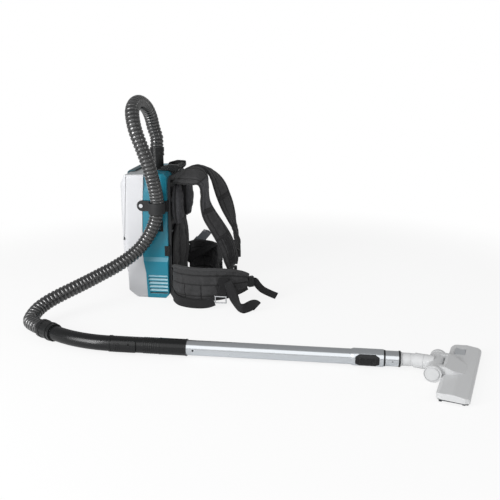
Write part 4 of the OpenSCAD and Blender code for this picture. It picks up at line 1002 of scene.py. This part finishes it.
@dataclass(frozen=True)
class PaddedStrip:
    """Foam under cloth, along a track: crowned faces, sewn channels and creases.

    A station holds the centre, the half width, the share of the thickness and the width direction.
    """

    name: str
    node: str
    stations: Tuple[Row, ...]
    thick_mm: float
    seams: Numbers = ()
    folds: Numbers = ()
    steps: int = 10
    sides: int = 44
    crumple_mm: float = 0.9
    panels: Tuple[Tuple[float, Finish], ...] = ()
    fold_top: float = 2.0
    side_power: float = 0.75
    crown_power: float = 0.7
    seam_dip: Pair = (0.5, 0.05)
    fold_dip: Pair = (0.45, 0.012)
    drawn_mm: float = 2.2
    crease_sizes: Tuple[Pair, ...] = ((55.0, 0.6), (120.0, 0.4))
    end_shares: Pair = (0.9, 0.62)

    @cached_property
    def track(self) -> List[Tuple[Step, float, float]]:
        """Steps along the strip, each with its half width and thickness in metres.

        Returns:
            One row per step: the step, its half width and its thickness.
        """
        rows = smooth_rows(self.stations, self.steps)
        steps = lay_track([Vector(r[:3]) * MM for r in rows], [Vector(r[5:8]) for r in rows])
        return [(s, r[3] * MM, r[4] * self.thick_mm * MM) for s, r in zip(steps, rows)]

    @property
    def length(self) -> float:
        """Length of the strip, in metres."""
        return self.track[-1][0].run

    @cached_property
    def find(self) -> Callable[[Vector], Triple]:
        """A look-up from a point to its share along, its share across and the half width there.

        Returns:
            The look-up.
        """
        tree = KDTree(len(self.track))
        for i, (step, _, _) in enumerate(self.track):
            tree.insert(step.at, i)
        tree.balance()

        def find(point: Vector) -> Triple:
            """Finds one point's place.

            Args:
                point: the point, in metres.

            Returns:
                Its share along, its share across and the half width there.
            """
            step, half, _ = self.track[tree.find(point)[1]]
            away, half = point - step.at, max(half, 1e-4)
            return (step.run + away.dot(step.ahead)) / self.length, away.dot(step.wide) / half, half

        return find

    def sewn(self, share: float, across: float, half: float = 0.031) -> float:
        """How much a place is drawn in by a seam or fold.

        Args:
            share: place along, from 0 to 1.
            across: place across, from -1 to 1.
            half: half width there, in metres.

        Returns:
            1 on a seam, falling to 0 beside it.
        """
        away = [abs(across - q) * half for q in self.seams]
        if across < self.fold_top:
            away += [abs(share - f) * 0.3 for f in self.folds]
        return dip(min(away, default=1.0), self.drawn_mm * MM)

    def mark_seams(self, piece: bpy.types.Object) -> None:
        """Keeps on every point how close it is to a seam, for its cloth to read.

        Args:
            piece: the cover.
        """
        values = []
        for v in piece.data.vertices:
            share, across, half = self.find(v.co)
            values.append(self.sewn(share, across, half) if 0.01 < share < 0.99 else 0.0)
        piece.data.attributes.new("sewn", "FLOAT", "POINT").data.foreach_set("value", values)

    def section(self, half: float, thick: float, place: float) -> Outline:
        """The strip's outline at one place.

        Args:
            half: half width, in metres.
            thick: thickness, in metres.
            place: share of the strip's length, from 0 to 1.

        Returns:
            Points across and through the thickness.
        """
        deep, wide = self.fold_dip
        fold = min([1.0] + [1 - deep * dip(place - f, wide) for f in self.folds])
        deep, wide = self.seam_dip
        made = []
        for i in range(self.sides):
            turn = 2 * math.pi * (i + 0.5) / self.sides
            c, s = math.cos(turn), math.sin(turn)
            x = math.copysign(abs(c) ** self.side_power, c)
            seam = min([1.0] + [1 - deep * dip(x - q, wide) for q in self.seams])
            made.append((half * x, thick / 2 * math.copysign(abs(s) ** self.crown_power, s) * seam * fold))
        return made

    def sew_seams(self, name: str, lift_mm: float, bare: int) -> None:
        """Sews stitches along every seam, on both faces.

        Args:
            name: the stitches' name.
            lift_mm: their height above the unfilled face.
            bare: how many steps at each end have none.
        """
        sewing, chosen = MeshMaker(name), self.track[bare:-bare]
        for share in self.seams:
            angle = math.acos(math.copysign(abs(share) ** (1 / self.side_power), share))
            height = math.sin(angle) ** self.crown_power
            for side in (1.0, -1.0):
                ups = [side * (thick / 2 * height + lift_mm * MM) for _, _, thick in chosen]
                line = [s.spot(half * share, up) for (s, half, _), up in zip(chosen, ups)]
                sewing.sew(line, [s.thick * side for s, _, _ in chosen])
        sewing.build(Finish.STITCH, "webbing", smooth=False)

    def skin(self, finish: Finish, slot: str, fill: float = 0.7) -> bpy.types.Object:
        """Builds the cloth-covered body of the strip.

        Args:
            finish: its cloth.
            slot: its material slot.
            fill: how full the padding is; not used.

        Returns:
            The object.
        """
        maker = MeshMaker(self.name)
        rings = []
        for s, half, thick in self.track:
            ring = []
            for x, y in self.section(half, thick, s.run / self.length):
                point = s.spot(x, y)
                crease = sum(noise.noise(point * scale) * part for scale, part in self.crease_sizes)
                ring.append(point + s.thick * (math.copysign(1.0, y) * crease * self.crumple_mm * MM))
            rings.append(ring)
        first, last = self.track[0][0].at, self.track[-1][0].at
        for share in self.end_shares:
            rings.insert(0, [first + (p - first) * share for p in rings[0]])
            rings.append([last + (p - last) * share for p in rings[-1]])
        runs = [0.0, 0.0] + [s.run for s, _, _ in self.track] + [self.length] * 2
        across = [x for x, _ in self.section(self.track[0][1], 0.01, 0.5)]
        maker.wall(rings, across + [across[0]], runs)
        made = maker.build(finish, slot)
        for _, cloth in self.panels:
            made.data.materials.append(cloth.material)
        CushionFill(self).run(made)
        self.mark_seams(made)
        for face in made.data.polygons if self.panels else ():
            face.material_index = sum(1 for start, _ in self.panels if self.find(face.center)[0] >= start)
        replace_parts(made, self.node)
        return made

    @staticmethod
    def on_cover(cover: BVHTree, step: Step, x: float, side: float, lift_mm: float) -> Vector:
        """Finds a point on the filled cover.

        Args:
            cover: the filled cover.
            step: the place along the strip.
            x: place across, in metres.
            side: 1 for the face that the thickness axis points to, -1 for the other.
            lift_mm: height above the cover.

        Returns:
            The point.
        """
        out, flat = step.thick * side, step.spot(x, 0.0)
        hit, *_ = cover.ray_cast(flat + out * 0.04, -out, 0.07)
        return (hit or flat) + out * (lift_mm * MM)

    def fold_shadow_band(self, name: str, place: float, cover: BVHTree, width_mm: float) -> None:
        """Lays a dark band of cloth round the strip at a fold, as a painted fold shadow.

        Args:
            name: the piece's name.
            place: share of the strip's length.
            cover: the filled cover that it lies on.
            width_mm: the band's width.
        """
        s, half, _ = min(self.track, key=lambda row: abs(row[0].run - place * self.length))
        shares = [k / 6 - 1 for k in range(13)]
        round_it = [(q, 1.0) for q in shares] + [(q, -1.0) for q in reversed(shares)]
        rings = []
        profile = (-0.56, -1.4), (-0.5, 0.8), (0.0, 1.0), (0.5, 0.8), (0.56, -1.4)
        for along, lift in profile:
            moved = Step(s.at + s.ahead * (along * width_mm * MM), s.ahead, s.wide, s.thick, s.run)
            rings.append([self.on_cover(cover, moved, q * 0.98 * half, side, lift) for q, side in round_it])
        maker = MeshMaker(name)
        across = [q * half for q in shares + shares[::-1]]
        maker.wall(rings, across + [across[0]], [0.0, 0.002, 0.005, 0.008, 0.01], ends=False)
        # Dark cloth that stands in for the shadow in the fold.
        maker.build(Finish.FOLD_SHADOW_CLOTH, "webbing")

    def binding(
        self, share: float, radius_mm: float, finish: Finish = Finish.BINDING, slot: str = "webbing"
    ) -> None:
        """Sews a rolled tape round one edge.

        Args:
            share: place across, -1 or 1 for an edge.
            radius_mm: radius of the roll.
            finish: its cloth.
            slot: its material slot.
        """
        line = [s.at + s.wide * (half * share) for s, half, _ in self.track]
        side = "upper" if share > 0 else "lower"
        maker = MeshMaker(f"{self.name}_binding_{side}")
        roll = oval(radius_mm * MM, radius_mm * 1.25 * MM, 12)
        maker.sweep(lay_track(line, [s.wide for s, _, _ in self.track]), roll)
        maker.build(finish, slot)


@dataclass(frozen=True)
class Tape:
    """A strip of flat webbing through points, with a width direction at each."""

    points: Tuple[Triple, ...]
    widths: Tuple[Triple, ...]
    width_mm: float
    stitched: Numbers = ()
    thick_mm: float = 2.0
    thin_edge: float = 0.55
    stitch_place: float = 0.78
    stitch_reach_mm: float = 14.0
    steps: int = 10

    def section(self) -> Outline:
        """The tape's outline: flat faces and thin, rounded edges.

        Returns:
            Points across and through the thickness, in metres.
        """
        a, t = self.width_mm / 2 * MM, self.thick_mm / 2 * MM
        places = (1.0, 0.9, 0.6, 0.3, 0.0, -0.3, -0.6, -0.9, -1.0)
        top = [(a * x, t * (1.0 if abs(x) < 0.9 else self.thin_edge)) for x in places]
        return top + [(x, -y) for x, y in reversed(top)]

    def track(self) -> List[Step]:
        """Steps along the tape."""
        rows = smooth_rows([p + w for p, w in zip(self.points, self.widths)], self.steps)
        return lay_track([Vector(r[:3]) * MM for r in rows], [Vector(r[3:6]) for r in rows])

    def add_to(self, maker: MeshMaker, sewing: MeshMaker) -> None:
        """Adds the tape and its stitches.

        Args:
            maker: mesh of the webbing.
            sewing: mesh of the stitches.
        """
        steps = self.track()
        maker.sweep(steps, self.section())
        half, rise = self.width_mm / 2 * MM, self.thick_mm / 2 * MM
        for q in self.stitched:
            near = [s for s in steps if abs(s.run - q * steps[-1].run) < self.stitch_reach_mm * MM]
            for side in (1.0, -1.0):
                for share in (-self.stitch_place, self.stitch_place):
                    line = [s.spot(half * share, side * rise) for s in near]
                    sewing.sew(line, [s.thick * side for s in near])


def web(name: str, node: str, tapes: Sequence[Tape]) -> None:
    """Builds tapes as one piece of webbing, and their stitches as another.

    Args:
        name: the piece's name.
        node: the CAD node that it stands for.
        tapes: its strips.
    """
    maker, sewing = MeshMaker(name), MeshMaker(name + "_stitches")
    for tape in tapes:
        tape.add_to(maker, sewing)
    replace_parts(maker.build(Finish.WEBBING, "webbing", smooth=False), node)
    sewing.build(Finish.STITCH, smooth=False)


# ---------- harness
@dataclass(frozen=True)
class ShoulderStraps:
    """Two padded straps with bound edges, and the webbing that adjusts them."""

    thick_mm: float = 14.0
    seams: Numbers = (-0.6, 0.6)
    # Widths of the dark bands painted as fold shadows.
    fold_shadow_mm: Numbers = (13.0, 8.0)
    tape_mm: Numbers = (-12.0, -8.0, -4.0, 0.0, 4.0, 8.0, 12.0)
    tape_seams_mm: Numbers = (-8.0, 8.0)
    tape_end: float = 0.97
    tape_lift_mm: float = 1.1
    tape_thick_mm: float = 1.6
    right: Tuple[Row, ...] = (
        (79, -67, 338, 25, 0.7, 0, 0.97, 0.22), (92, -72.7, 347.2, 32, 0.9, 0, 0.93, 0.35),
        (117, -78.5, 353.3, 37.5, 1, 0, 0.86, 0.48), (145, -79.6, 351.7, 37.5, 1, 0.05, 0.85, 0.5),
        (160, -78.8, 337.1, 34, 1, 0.1, 0.95, 0.3), (164, -78, 308, 31, 1, 0.1, 1, 0.1),
        (166, -80, 275, 31, 1, 0.2, 1, 0.05), (178, -83, 243, 31, 1, 0.34, 0.93, 0.15),
        (198, -86, 212, 31, 1, 0.38, 0.9, 0.2), (217, -88, 181, 31, 1, 0.42, 0.88, 0.2),
        (231, -88, 149, 30, 1, 0.45, 0.86, 0.2), (239, -86, 118, 28, 0.9, 0.5, 0.84, 0.1),
        (241, -85, 96, 20, 0.6, 0.5, 0.84, 0.05),
    )
    left: Tuple[Row, ...] = (
        (79, 66, 338, 24, 0.7, 0, 0.97, -0.22), (92, 67.5, 347, 27, 0.9, 0, 0.93, -0.3),
        (116, 74, 352, 30, 1, 0, 0.92, -0.3), (143, 77, 345, 31, 1, 0.1, 0.95, -0.2),
        (163, 79, 325, 31, 1, 0.25, 0.95, -0.1), (178, 81, 297, 31, 1, 0.4, 0.9, 0),
        (189, 83, 267, 31, 1, 0.45, 0.9, 0), (201, 85, 234, 31, 1, 0.4, 0.9, 0),
        (213, 86, 200, 31, 1, 0.2, 0.98, 0), (223, 87, 166, 31, 1, -0.1, 1, 0),
        (229, 87, 132, 30, 0.9, -0.35, 0.92, 0), (231, 86, 102, 22, 0.6, -0.45, 0.88, 0),
    )
    tapes: Tuple[Tape, ...] = (
        Tape(
            ((236, -88.6, 92), (234.6, -89.6, 78), (216, -96, 70), (160, -103, 66), (68, -91, 59)),
            ((0.5, 0.86, 0), (0.5, 0.86, 0), (0.3, 0.7, 0.5), (0.1, 0.3, 1), (0, 0, 1)),
            width_mm=25,
            stitched=(0.02, 0.95),
        ),
        Tape(
            ((226.6, 83.6, 82), (225, 84, 97), (210, 88, 106), (168, 94, 109), (120, 94, 88), (68.5, 91, 59)),
            ((-0.45, 0.89, 0), (-0.45, 0.89, 0), (0, 1, 0), (0, 1, 0), (0, 0.6, 0.8), (0, 0, 1)),
            width_mm=25,
            stitched=(0.02, 0.95),
        ),
        Tape(
            ((63.4, -65, 333.4), (69, -65, 333.3), (74.6, -65.6, 334.2), (78.4, -66, 337.3)),
            ((0, 1, 0), (0, 1, 0), (0, 1, 0.1), (0, 0.97, 0.22)),
            width_mm=28,
        ),
        Tape(
            ((63.4, 65, 333.4), (69, 65, 333.3), (74.6, 65.6, 334.2), (78.4, 66, 337.3)),
            ((0, 1, 0), (0, 1, 0), (0, 1, -0.1), (0, 0.97, -0.22)),
            width_mm=28,
        ),
    )

    def build(self) -> None:
        """Builds both straps, their bindings, painted fold shadows, tapes and stitches, and the webbing."""
        mesh, cloth = Finish.AIR_MESH, Finish.PAD
        for side, stations, folds, panels in (
            ("right", self.right, (0.25, 0.5, 0.74), ((0.25, mesh), (0.5, cloth))),
            ("left", self.left, (0.49, 0.76), ((0.49, cloth),)),
        ):
            names = f"shoulder_pad_{side}", f"shoulder_strap_{side}"
            strip = PaddedStrip(*names, stations, self.thick_mm, self.seams, folds, panels=panels)
            pad = strip.skin(Finish.PAD_SMOOTH, "pad_fabric").data
            faces = [tuple(f.vertices) for f in pad.polygons]
            cover = BVHTree.FromPolygons([v.co for v in pad.vertices], faces)
            for share in (-1.0, 1.0):
                strip.binding(share, radius_mm=2.2)
            strip.sew_seams(f"shoulder_stitches_{side}", lift_mm=-2.6, bare=4)
            # Dark bands at the last two folds are painted fold shadows.
            for k, (fold, width) in enumerate(zip(folds[-2:], self.fold_shadow_mm)):
                strip.fold_shadow_band(f"shoulder_cross_tape_{side}_{k}", fold, cover, width)
            self.centre_tape(strip, side, cover)
        web("strap_tapes", "strap_webbing", self.tapes)

    def centre_tape(self, strip: PaddedStrip, side: str, cover: BVHTree) -> None:
        """Sews a bare tape along the outer face of a strap's lower half.

        Args:
            strip: the strap.
            side: "right" or "left".
            cover: the strap's filled cover, for the tape to lie on.
        """
        chosen = [s for s, _, _ in strip.track if strip.folds[-1] < s.run / strip.length < self.tape_end]
        facing = 1.0 if chosen[0].thick.x > 0 else -1.0
        rings = []
        for s in chosen:
            tops = [strip.on_cover(cover, s, x * MM, facing, self.tape_lift_mm) for x in self.tape_mm]
            under = s.thick * (facing * self.tape_thick_mm * MM)
            rings.append(tops + [top - under for top in reversed(tops)])
        across = [x * MM for x in self.tape_mm + self.tape_mm[::-1]]
        maker = MeshMaker(f"shoulder_tape_{side}")
        maker.wall(rings, across + [across[0]], [s.run for s in chosen])
        maker.build(Finish.WEBBING, "webbing", smooth=False)
        sewing = MeshMaker(f"shoulder_tape_stitches_{side}")
        for x in self.tape_seams_mm:
            row = [ring[self.tape_mm.index(x)] for ring in rings]
            sewing.sew(row, [s.thick * facing for s in chosen])
        sewing.build(Finish.STITCH, smooth=False)


@dataclass(frozen=True)
class WaistBelt:
    """Two waist pads, the webbing under and in front of them, and the folded tails."""

    thick_mm: float = 15.0
    seams: Numbers = (0.62, 0.02, -0.74)
    folds: Numbers = (0.28, 0.47, 0.66, 0.83)
    right: Tuple[Row, ...] = (
        (76, -106, 62, 34, 0.7), (90, -131, 62, 42, 1), (116, -154, 63, 44, 1), (155, -167, 64, 44, 1),
        (198, -167, 65, 43, 1), (238, -156, 66, 39, 1), (272, -138, 66, 30, 0.9), (292, -126, 65, 20, 0.6),
    )
    left: Tuple[Row, ...] = (
        (76, 105, 64, 46, 0.8), (90, 130, 63, 46, 1), (112, 142, 61, 45, 1), (142, 129, 61, 45, 1),
        (164, 98, 61, 45, 1), (180, 56, 60, 39, 0.9), (190, 18, 60, 24, 0.6),
    )
    tapes: Tuple[Tape, ...] = (
        Tape(
            ((66, -105.6, 25), (76, -122, 20), (84, -142, 16), (104, -168, 14.5), (136, -184, 14.5),
             (168, -187.5, 15), (190, -187, 18), (206, -184.5, 24)),
            ((0.0, 0.25, 1.0),) * 8,
            width_mm=25,
            stitched=(0.03, 0.97),
        ),
        Tape(
            ((231, -171.5, 90), (230, -172.4, 68), (228, -174.4, 52), (225.6, -180.4, 42.8)),
            ((1, 0.33, 0), (1, 0.33, 0), (1, 0.25, 0), (1, 0.1, 0)),
            width_mm=27,
            stitched=(0.1, 0.8),
        ),
        Tape(
            ((300, -121.2, 65), (306, -117.6, 65.4), (311.5, -114.6, 63), (318, -111, 52),
             (331, -104, 36), (352, -94, 22), (369, -85, 12)),
            ((0, 0, 1), (0, 0, 1), (0.2, 0, 1), (0.3, 0, 1), (0.3, 0, 1), (0.3, 0, 1), (0.3, 0, 1)),
            width_mm=20,
            stitched=(0.96,),
        ),
        Tape(
            ((243, -175, 78), (252, -184, 60), (266, -194, 34), (279, -206, 18.5), (290, -209, 15.5),
             (301, -201, 17), (312, -195, 21), (321, -192, 21), (327, -192, 16.5)),
            ((0.36, 0, 0.93), (0.36, 0, 0.93), (0.3, 0, 0.95), (0.2, -0.3, 0.9), (0, -0.2, 1), (0, 0, 1),
             (0, 0, 1), (0, 0, 1), (0, 0, 1)),
            width_mm=30,
            stitched=(0.04, 0.97),
        ),
    )

    def build(self) -> None:
        """Builds the pads, their bindings and stitches, and the belt's webbing."""
        for side, rows in (("right", self.right), ("left", self.left)):
            names = f"waist_pad_cover_{side}", f"waist_pad_{side}"
            upright = tuple(tuple(r) + (0.0, 0.0, 1.0) for r in rows)
            sewn = self.thick_mm, self.seams, self.folds
            strip = PaddedStrip(*names, upright, *sewn, crumple_mm=1.7, fold_top=0.02)
            strip.skin(Finish.PAD, "pad_fabric")
            strip.binding(1.0, 5.0, Finish.PAD_SMOOTH, "pad_fabric")
            strip.binding(-1.0, radius_mm=3.4)
            strip.sew_seams(f"waist_stitches_{side}", lift_mm=-2.9, bare=3)
        web("belt_tapes", "belt_webbing", self.tapes)


@dataclass(frozen=True)
class BackPads:
    """The two oval pads behind the shoulder blades and the pad for the small of the back."""

    face_x_mm: float = 69.3
    blade_y_mm: float = 66.0
    blade_thick_mm: float = 27.0
    blade_z_mm: Pair = (212, 115)
    blade_halves_mm: Numbers = (33,) * 13
    lumbar_thick_mm: float = 10.0
    lumbar_z_mm: Pair = (34, 172)
    lumbar_halves_mm: Numbers = (84,) * 2 + (96,) * 5
    crumple_mm: float = 0.6

    def stations(
        self, thick: float, y: float, rise: Pair, halves: Row, tip: float, power: float
    ) -> Tuple[Row, ...]:
        """Stations of an upright pad with rounded ends, on the plate's face.

        Args:
            thick: its thickness, in millimetres as all lengths here.
            y: its middle line.
            rise: height of its lower end, and its own height.
            halves: half width of each station.
            tip: how blunt its ends are, in degrees.
            power: how square its corners are; less is squarer.

        Returns:
            The stations.
        """
        made = []
        for k, half in enumerate(halves):
            u = k / (len(halves) - 1)
            f = math.sin(math.radians(tip + (180 - 2 * tip) * u)) ** power
            z = rise[0] + rise[1] * u
            made.append((self.face_x_mm + thick / 2, y, z, half * f, f, 0.0, 1.0, 0.0))
        return tuple(made)

    def build(self) -> None:
        """Builds the three pads."""
        pads = []
        for side, y in (("right", -self.blade_y_mm), ("left", self.blade_y_mm)):
            thick = self.blade_thick_mm
            rows = self.stations(thick, y, self.blade_z_mm, self.blade_halves_mm, tip=14, power=0.55)
            names = f"blade_pad_{side}", "back_pads"
            blade = PaddedStrip(*names, rows, thick, steps=4, crumple_mm=self.crumple_mm)
            pads.append((blade, Finish.AIR_MESH))
        thick = self.lumbar_thick_mm
        rows = self.stations(thick, 0.0, self.lumbar_z_mm, self.lumbar_halves_mm, tip=18, power=0.4)
        names, seams = ("lumbar_pad", "back_pads"), (-0.45, 0.45)
        lumbar = PaddedStrip(*names, rows, thick, seams, steps=8, sides=64, crumple_mm=self.crumple_mm)
        for strip, finish in pads + [(lumbar, Finish.PAD_SMOOTH)]:
            strip.skin(finish, "mesh_fabric", fill=0.8)
            for share in (-1.0, 1.0):
                strip.binding(share, radius_mm=1.8)


# ---------- carried-over solids
class HardParts:
    """The solids that keep their own shape, each with its finish."""

    finishes: ClassVar[Dict[Finish, Tuple[str, ...]]] = {
        Finish.TEAL_SHELL: ("main_housing",),
        Finish.WHITE_SHELL: ("rear_frame", "bag_cover"),
        Finish.ROOF_GREY: ("roof_panel",),
        Finish.LATCH_DARK: ("cover_latch",),
        Finish.BLACK_PLASTIC: (
            "plate_clips", "switch_bezel", "hose_inlet", "battery_dock", "battery_right",
            "battery_left", "harness_buckles", "inlet_cuff", "handle_cuff", "lock_slider", "tube_rings",
        ),
        Finish.PLATE_BLACK: ("back_plate",),
        Finish.HANDLE_BLACK: ("carry_handle", "handle_pipe", "suction_slider"),
        Finish.GREY_PLASTIC: ("power_switch", "fan_housing", "nozzle_sole", "bag_collar"),
        Finish.PEDAL_GREY: ("pedal",),
        Finish.NOZZLE_WHITE: ("nozzle_neck", "nozzle_yoke", "nozzle_head", "nozzle_wheels"),
        Finish.SMOKY_TOOL: ("crevice_nozzle",),
        Finish.RED_BUTTON: ("battery_button_right", "battery_button_left"),
        Finish.SOFT_RUBBER: ("cover_seal", "motor_mount", "hose_band"),
        Finish.BOARD: ("control_board",),
        Finish.MOTOR_PAINT: ("motor_can",),
        Finish.TUBE: ("outer_tube", "lock_collar", "inner_tube"),
        Finish.TURNED_STEEL: ("cover_pins", "housing_screws", "motor_shaft", "axle_pin", "impeller"),
        Finish.PLATED_WIRE: ("belt_ring",),
        Finish.BAG_PAPER: ("dust_bag",),
        Finish.FOAM: ("pre_filter", "exhaust_filters"),
        Finish.BRISTLE: ("brush_strips",),
        Finish.POCKET: ("tool_holder",),
    }

    def build(self) -> None:
        """Gives every solid its material."""
        for finish, nodes in self.finishes.items():
            for node in nodes:
                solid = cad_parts[node]
                solid.data.materials.clear()
                solid.data.materials.append(finish.material)
                LOG.info("%s: %s", node, finish.name)


# ---------- studio
@dataclass(frozen=True)
class Studio:
    """Pale floor, soft lamps and the camera; each lamp has a name, place, aim, size and power."""

    camera_at: Triple = (0.5387, -1.9399, 0.6636)
    yaw: float = 0.132
    pitch: float = 0.270
    focal_px: float = 687.6
    frame_px: float = 500.0
    floor_half: float = 12.0
    floor_grey: float = 0.95
    shadow_at: Pair = (0.3, -0.25)
    shadow_squares: Pair = (0.7, 2.2)
    near_glow: float = 0.84
    sky_light: float = 0.36
    lamps: Tuple[Tuple[str, Triple, Triple, Pair, float], ...] = (
        ("key", (-1.7, -2.1, 1.0), (0.0, -0.15, 0.25), (0.9, 1.5), 35.0),
        ("strip", (-0.9, -1.8, 0.7), (0.0, -0.15, 0.3), (0.1, 1.3), 12.0),
        ("panel", (0.3, -3.0, 1.7), (0.3, -0.3, 0.1), (3.4, 2.8), 30.0),
        ("side", (2.3, -1.0, 1.1), (0.3, -0.2, 0.15), (0.3, 1.4), 7.0),
    )

    def floor(self) -> None:
        """Lays the floor: white to the camera, with the object's shadow kept."""
        h = self.floor_half
        mesh = bpy.data.meshes.new("floor")
        mesh.from_pydata([(-h, -h, 0), (h, -h, 0), (h, h, 0), (-h, h, 0)], [], [(0, 1, 2, 3)])
        white = bpy.data.materials.new("floor_white")
        mesh.materials.append(white)
        g = Graph(white)
        x, y = (axis - middle for axis, middle in zip(g.axes(g.place()), self.shadow_at))
        far = (x * x + y * y).ease(*self.shadow_squares)
        seen = g.wire("ShaderNodeLightPath", output="Is Camera Ray")
        share = seen * (self.near_glow + far * (1.0 - self.near_glow))
        matt = g.wire("ShaderNodeBsdfDiffuse", None, {"Color": (self.floor_grey,) * 3})
        glow = g.wire("ShaderNodeEmission", None, {"Color": WHITE, "Strength": 1.0})
        mixed = g.wire("ShaderNodeMixShader", None, {0: share, 1: matt, 2: glow})
        g.node("ShaderNodeOutputMaterial", None, {"Surface": mixed})
        in_scene("floor", mesh)

    def sky(self) -> None:
        """White to the camera, and a plain soft light for the rest."""
        world = bpy.data.worlds.new("studio")
        bpy.context.scene.world = world
        g = Graph(world)
        kind = "ShaderNodeBackground"
        plain = g.wire(kind, None, {"Color": WHITE, "Strength": self.sky_light})
        white = g.wire(kind, None, {"Color": WHITE, "Strength": 1.0})
        seen = g.wire("ShaderNodeLightPath", output="Is Camera Ray")
        mixed = g.wire("ShaderNodeMixShader", None, {0: seen, 1: plain, 2: white})
        g.node("ShaderNodeOutputWorld", None, {"Surface": mixed})

    @staticmethod
    def hang(name: str, data: bpy.types.ID, at: Row, look: Vector) -> bpy.types.Object:
        """Adds a lamp or camera.

        Args:
            name: its name.
            data: the lamp or camera.
            at: its place, in metres.
            look: the direction that it faces.

        Returns:
            The object.
        """
        made = in_scene(name, data)
        made.location = at
        made.rotation_mode = "QUATERNION"
        made.rotation_quaternion = look.to_track_quat("-Z", "Y")
        return made

    def build(self) -> None:
        """Builds floor, light and camera."""
        self.floor()
        self.sky()
        for name, at, aim, size, power in self.lamps:
            lamp = bpy.data.lights.new(name, "AREA")
            lamp.shape, lamp.energy = "RECTANGLE", power
            lamp.size, lamp.size_y = size
            self.hang(name, lamp, at, Vector(aim) - Vector(at))
        view = bpy.data.cameras.new("camera")
        view.lens = self.focal_px / self.frame_px * view.sensor_width
        level = math.cos(self.pitch)
        look = Vector((-math.sin(self.yaw) * level, math.cos(self.yaw) * level, -math.sin(self.pitch)))
        scene = bpy.context.scene
        scene.camera = self.hang("camera", view, self.camera_at, look)
        scene.view_settings.view_transform = "Standard"


def main() -> None:
    """Builds every group in order."""
    logging.basicConfig(level=logging.INFO, format="%(name)s: %(message)s")
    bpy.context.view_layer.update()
    groups = (Studio(), RibbedTube(), HardParts(), ShoulderStraps(), WaistBelt(), BackPads())
    for group in groups:
        LOG.info("building %s", type(group).__name__)
        group.build()


if __name__ == "__main__":
    main()
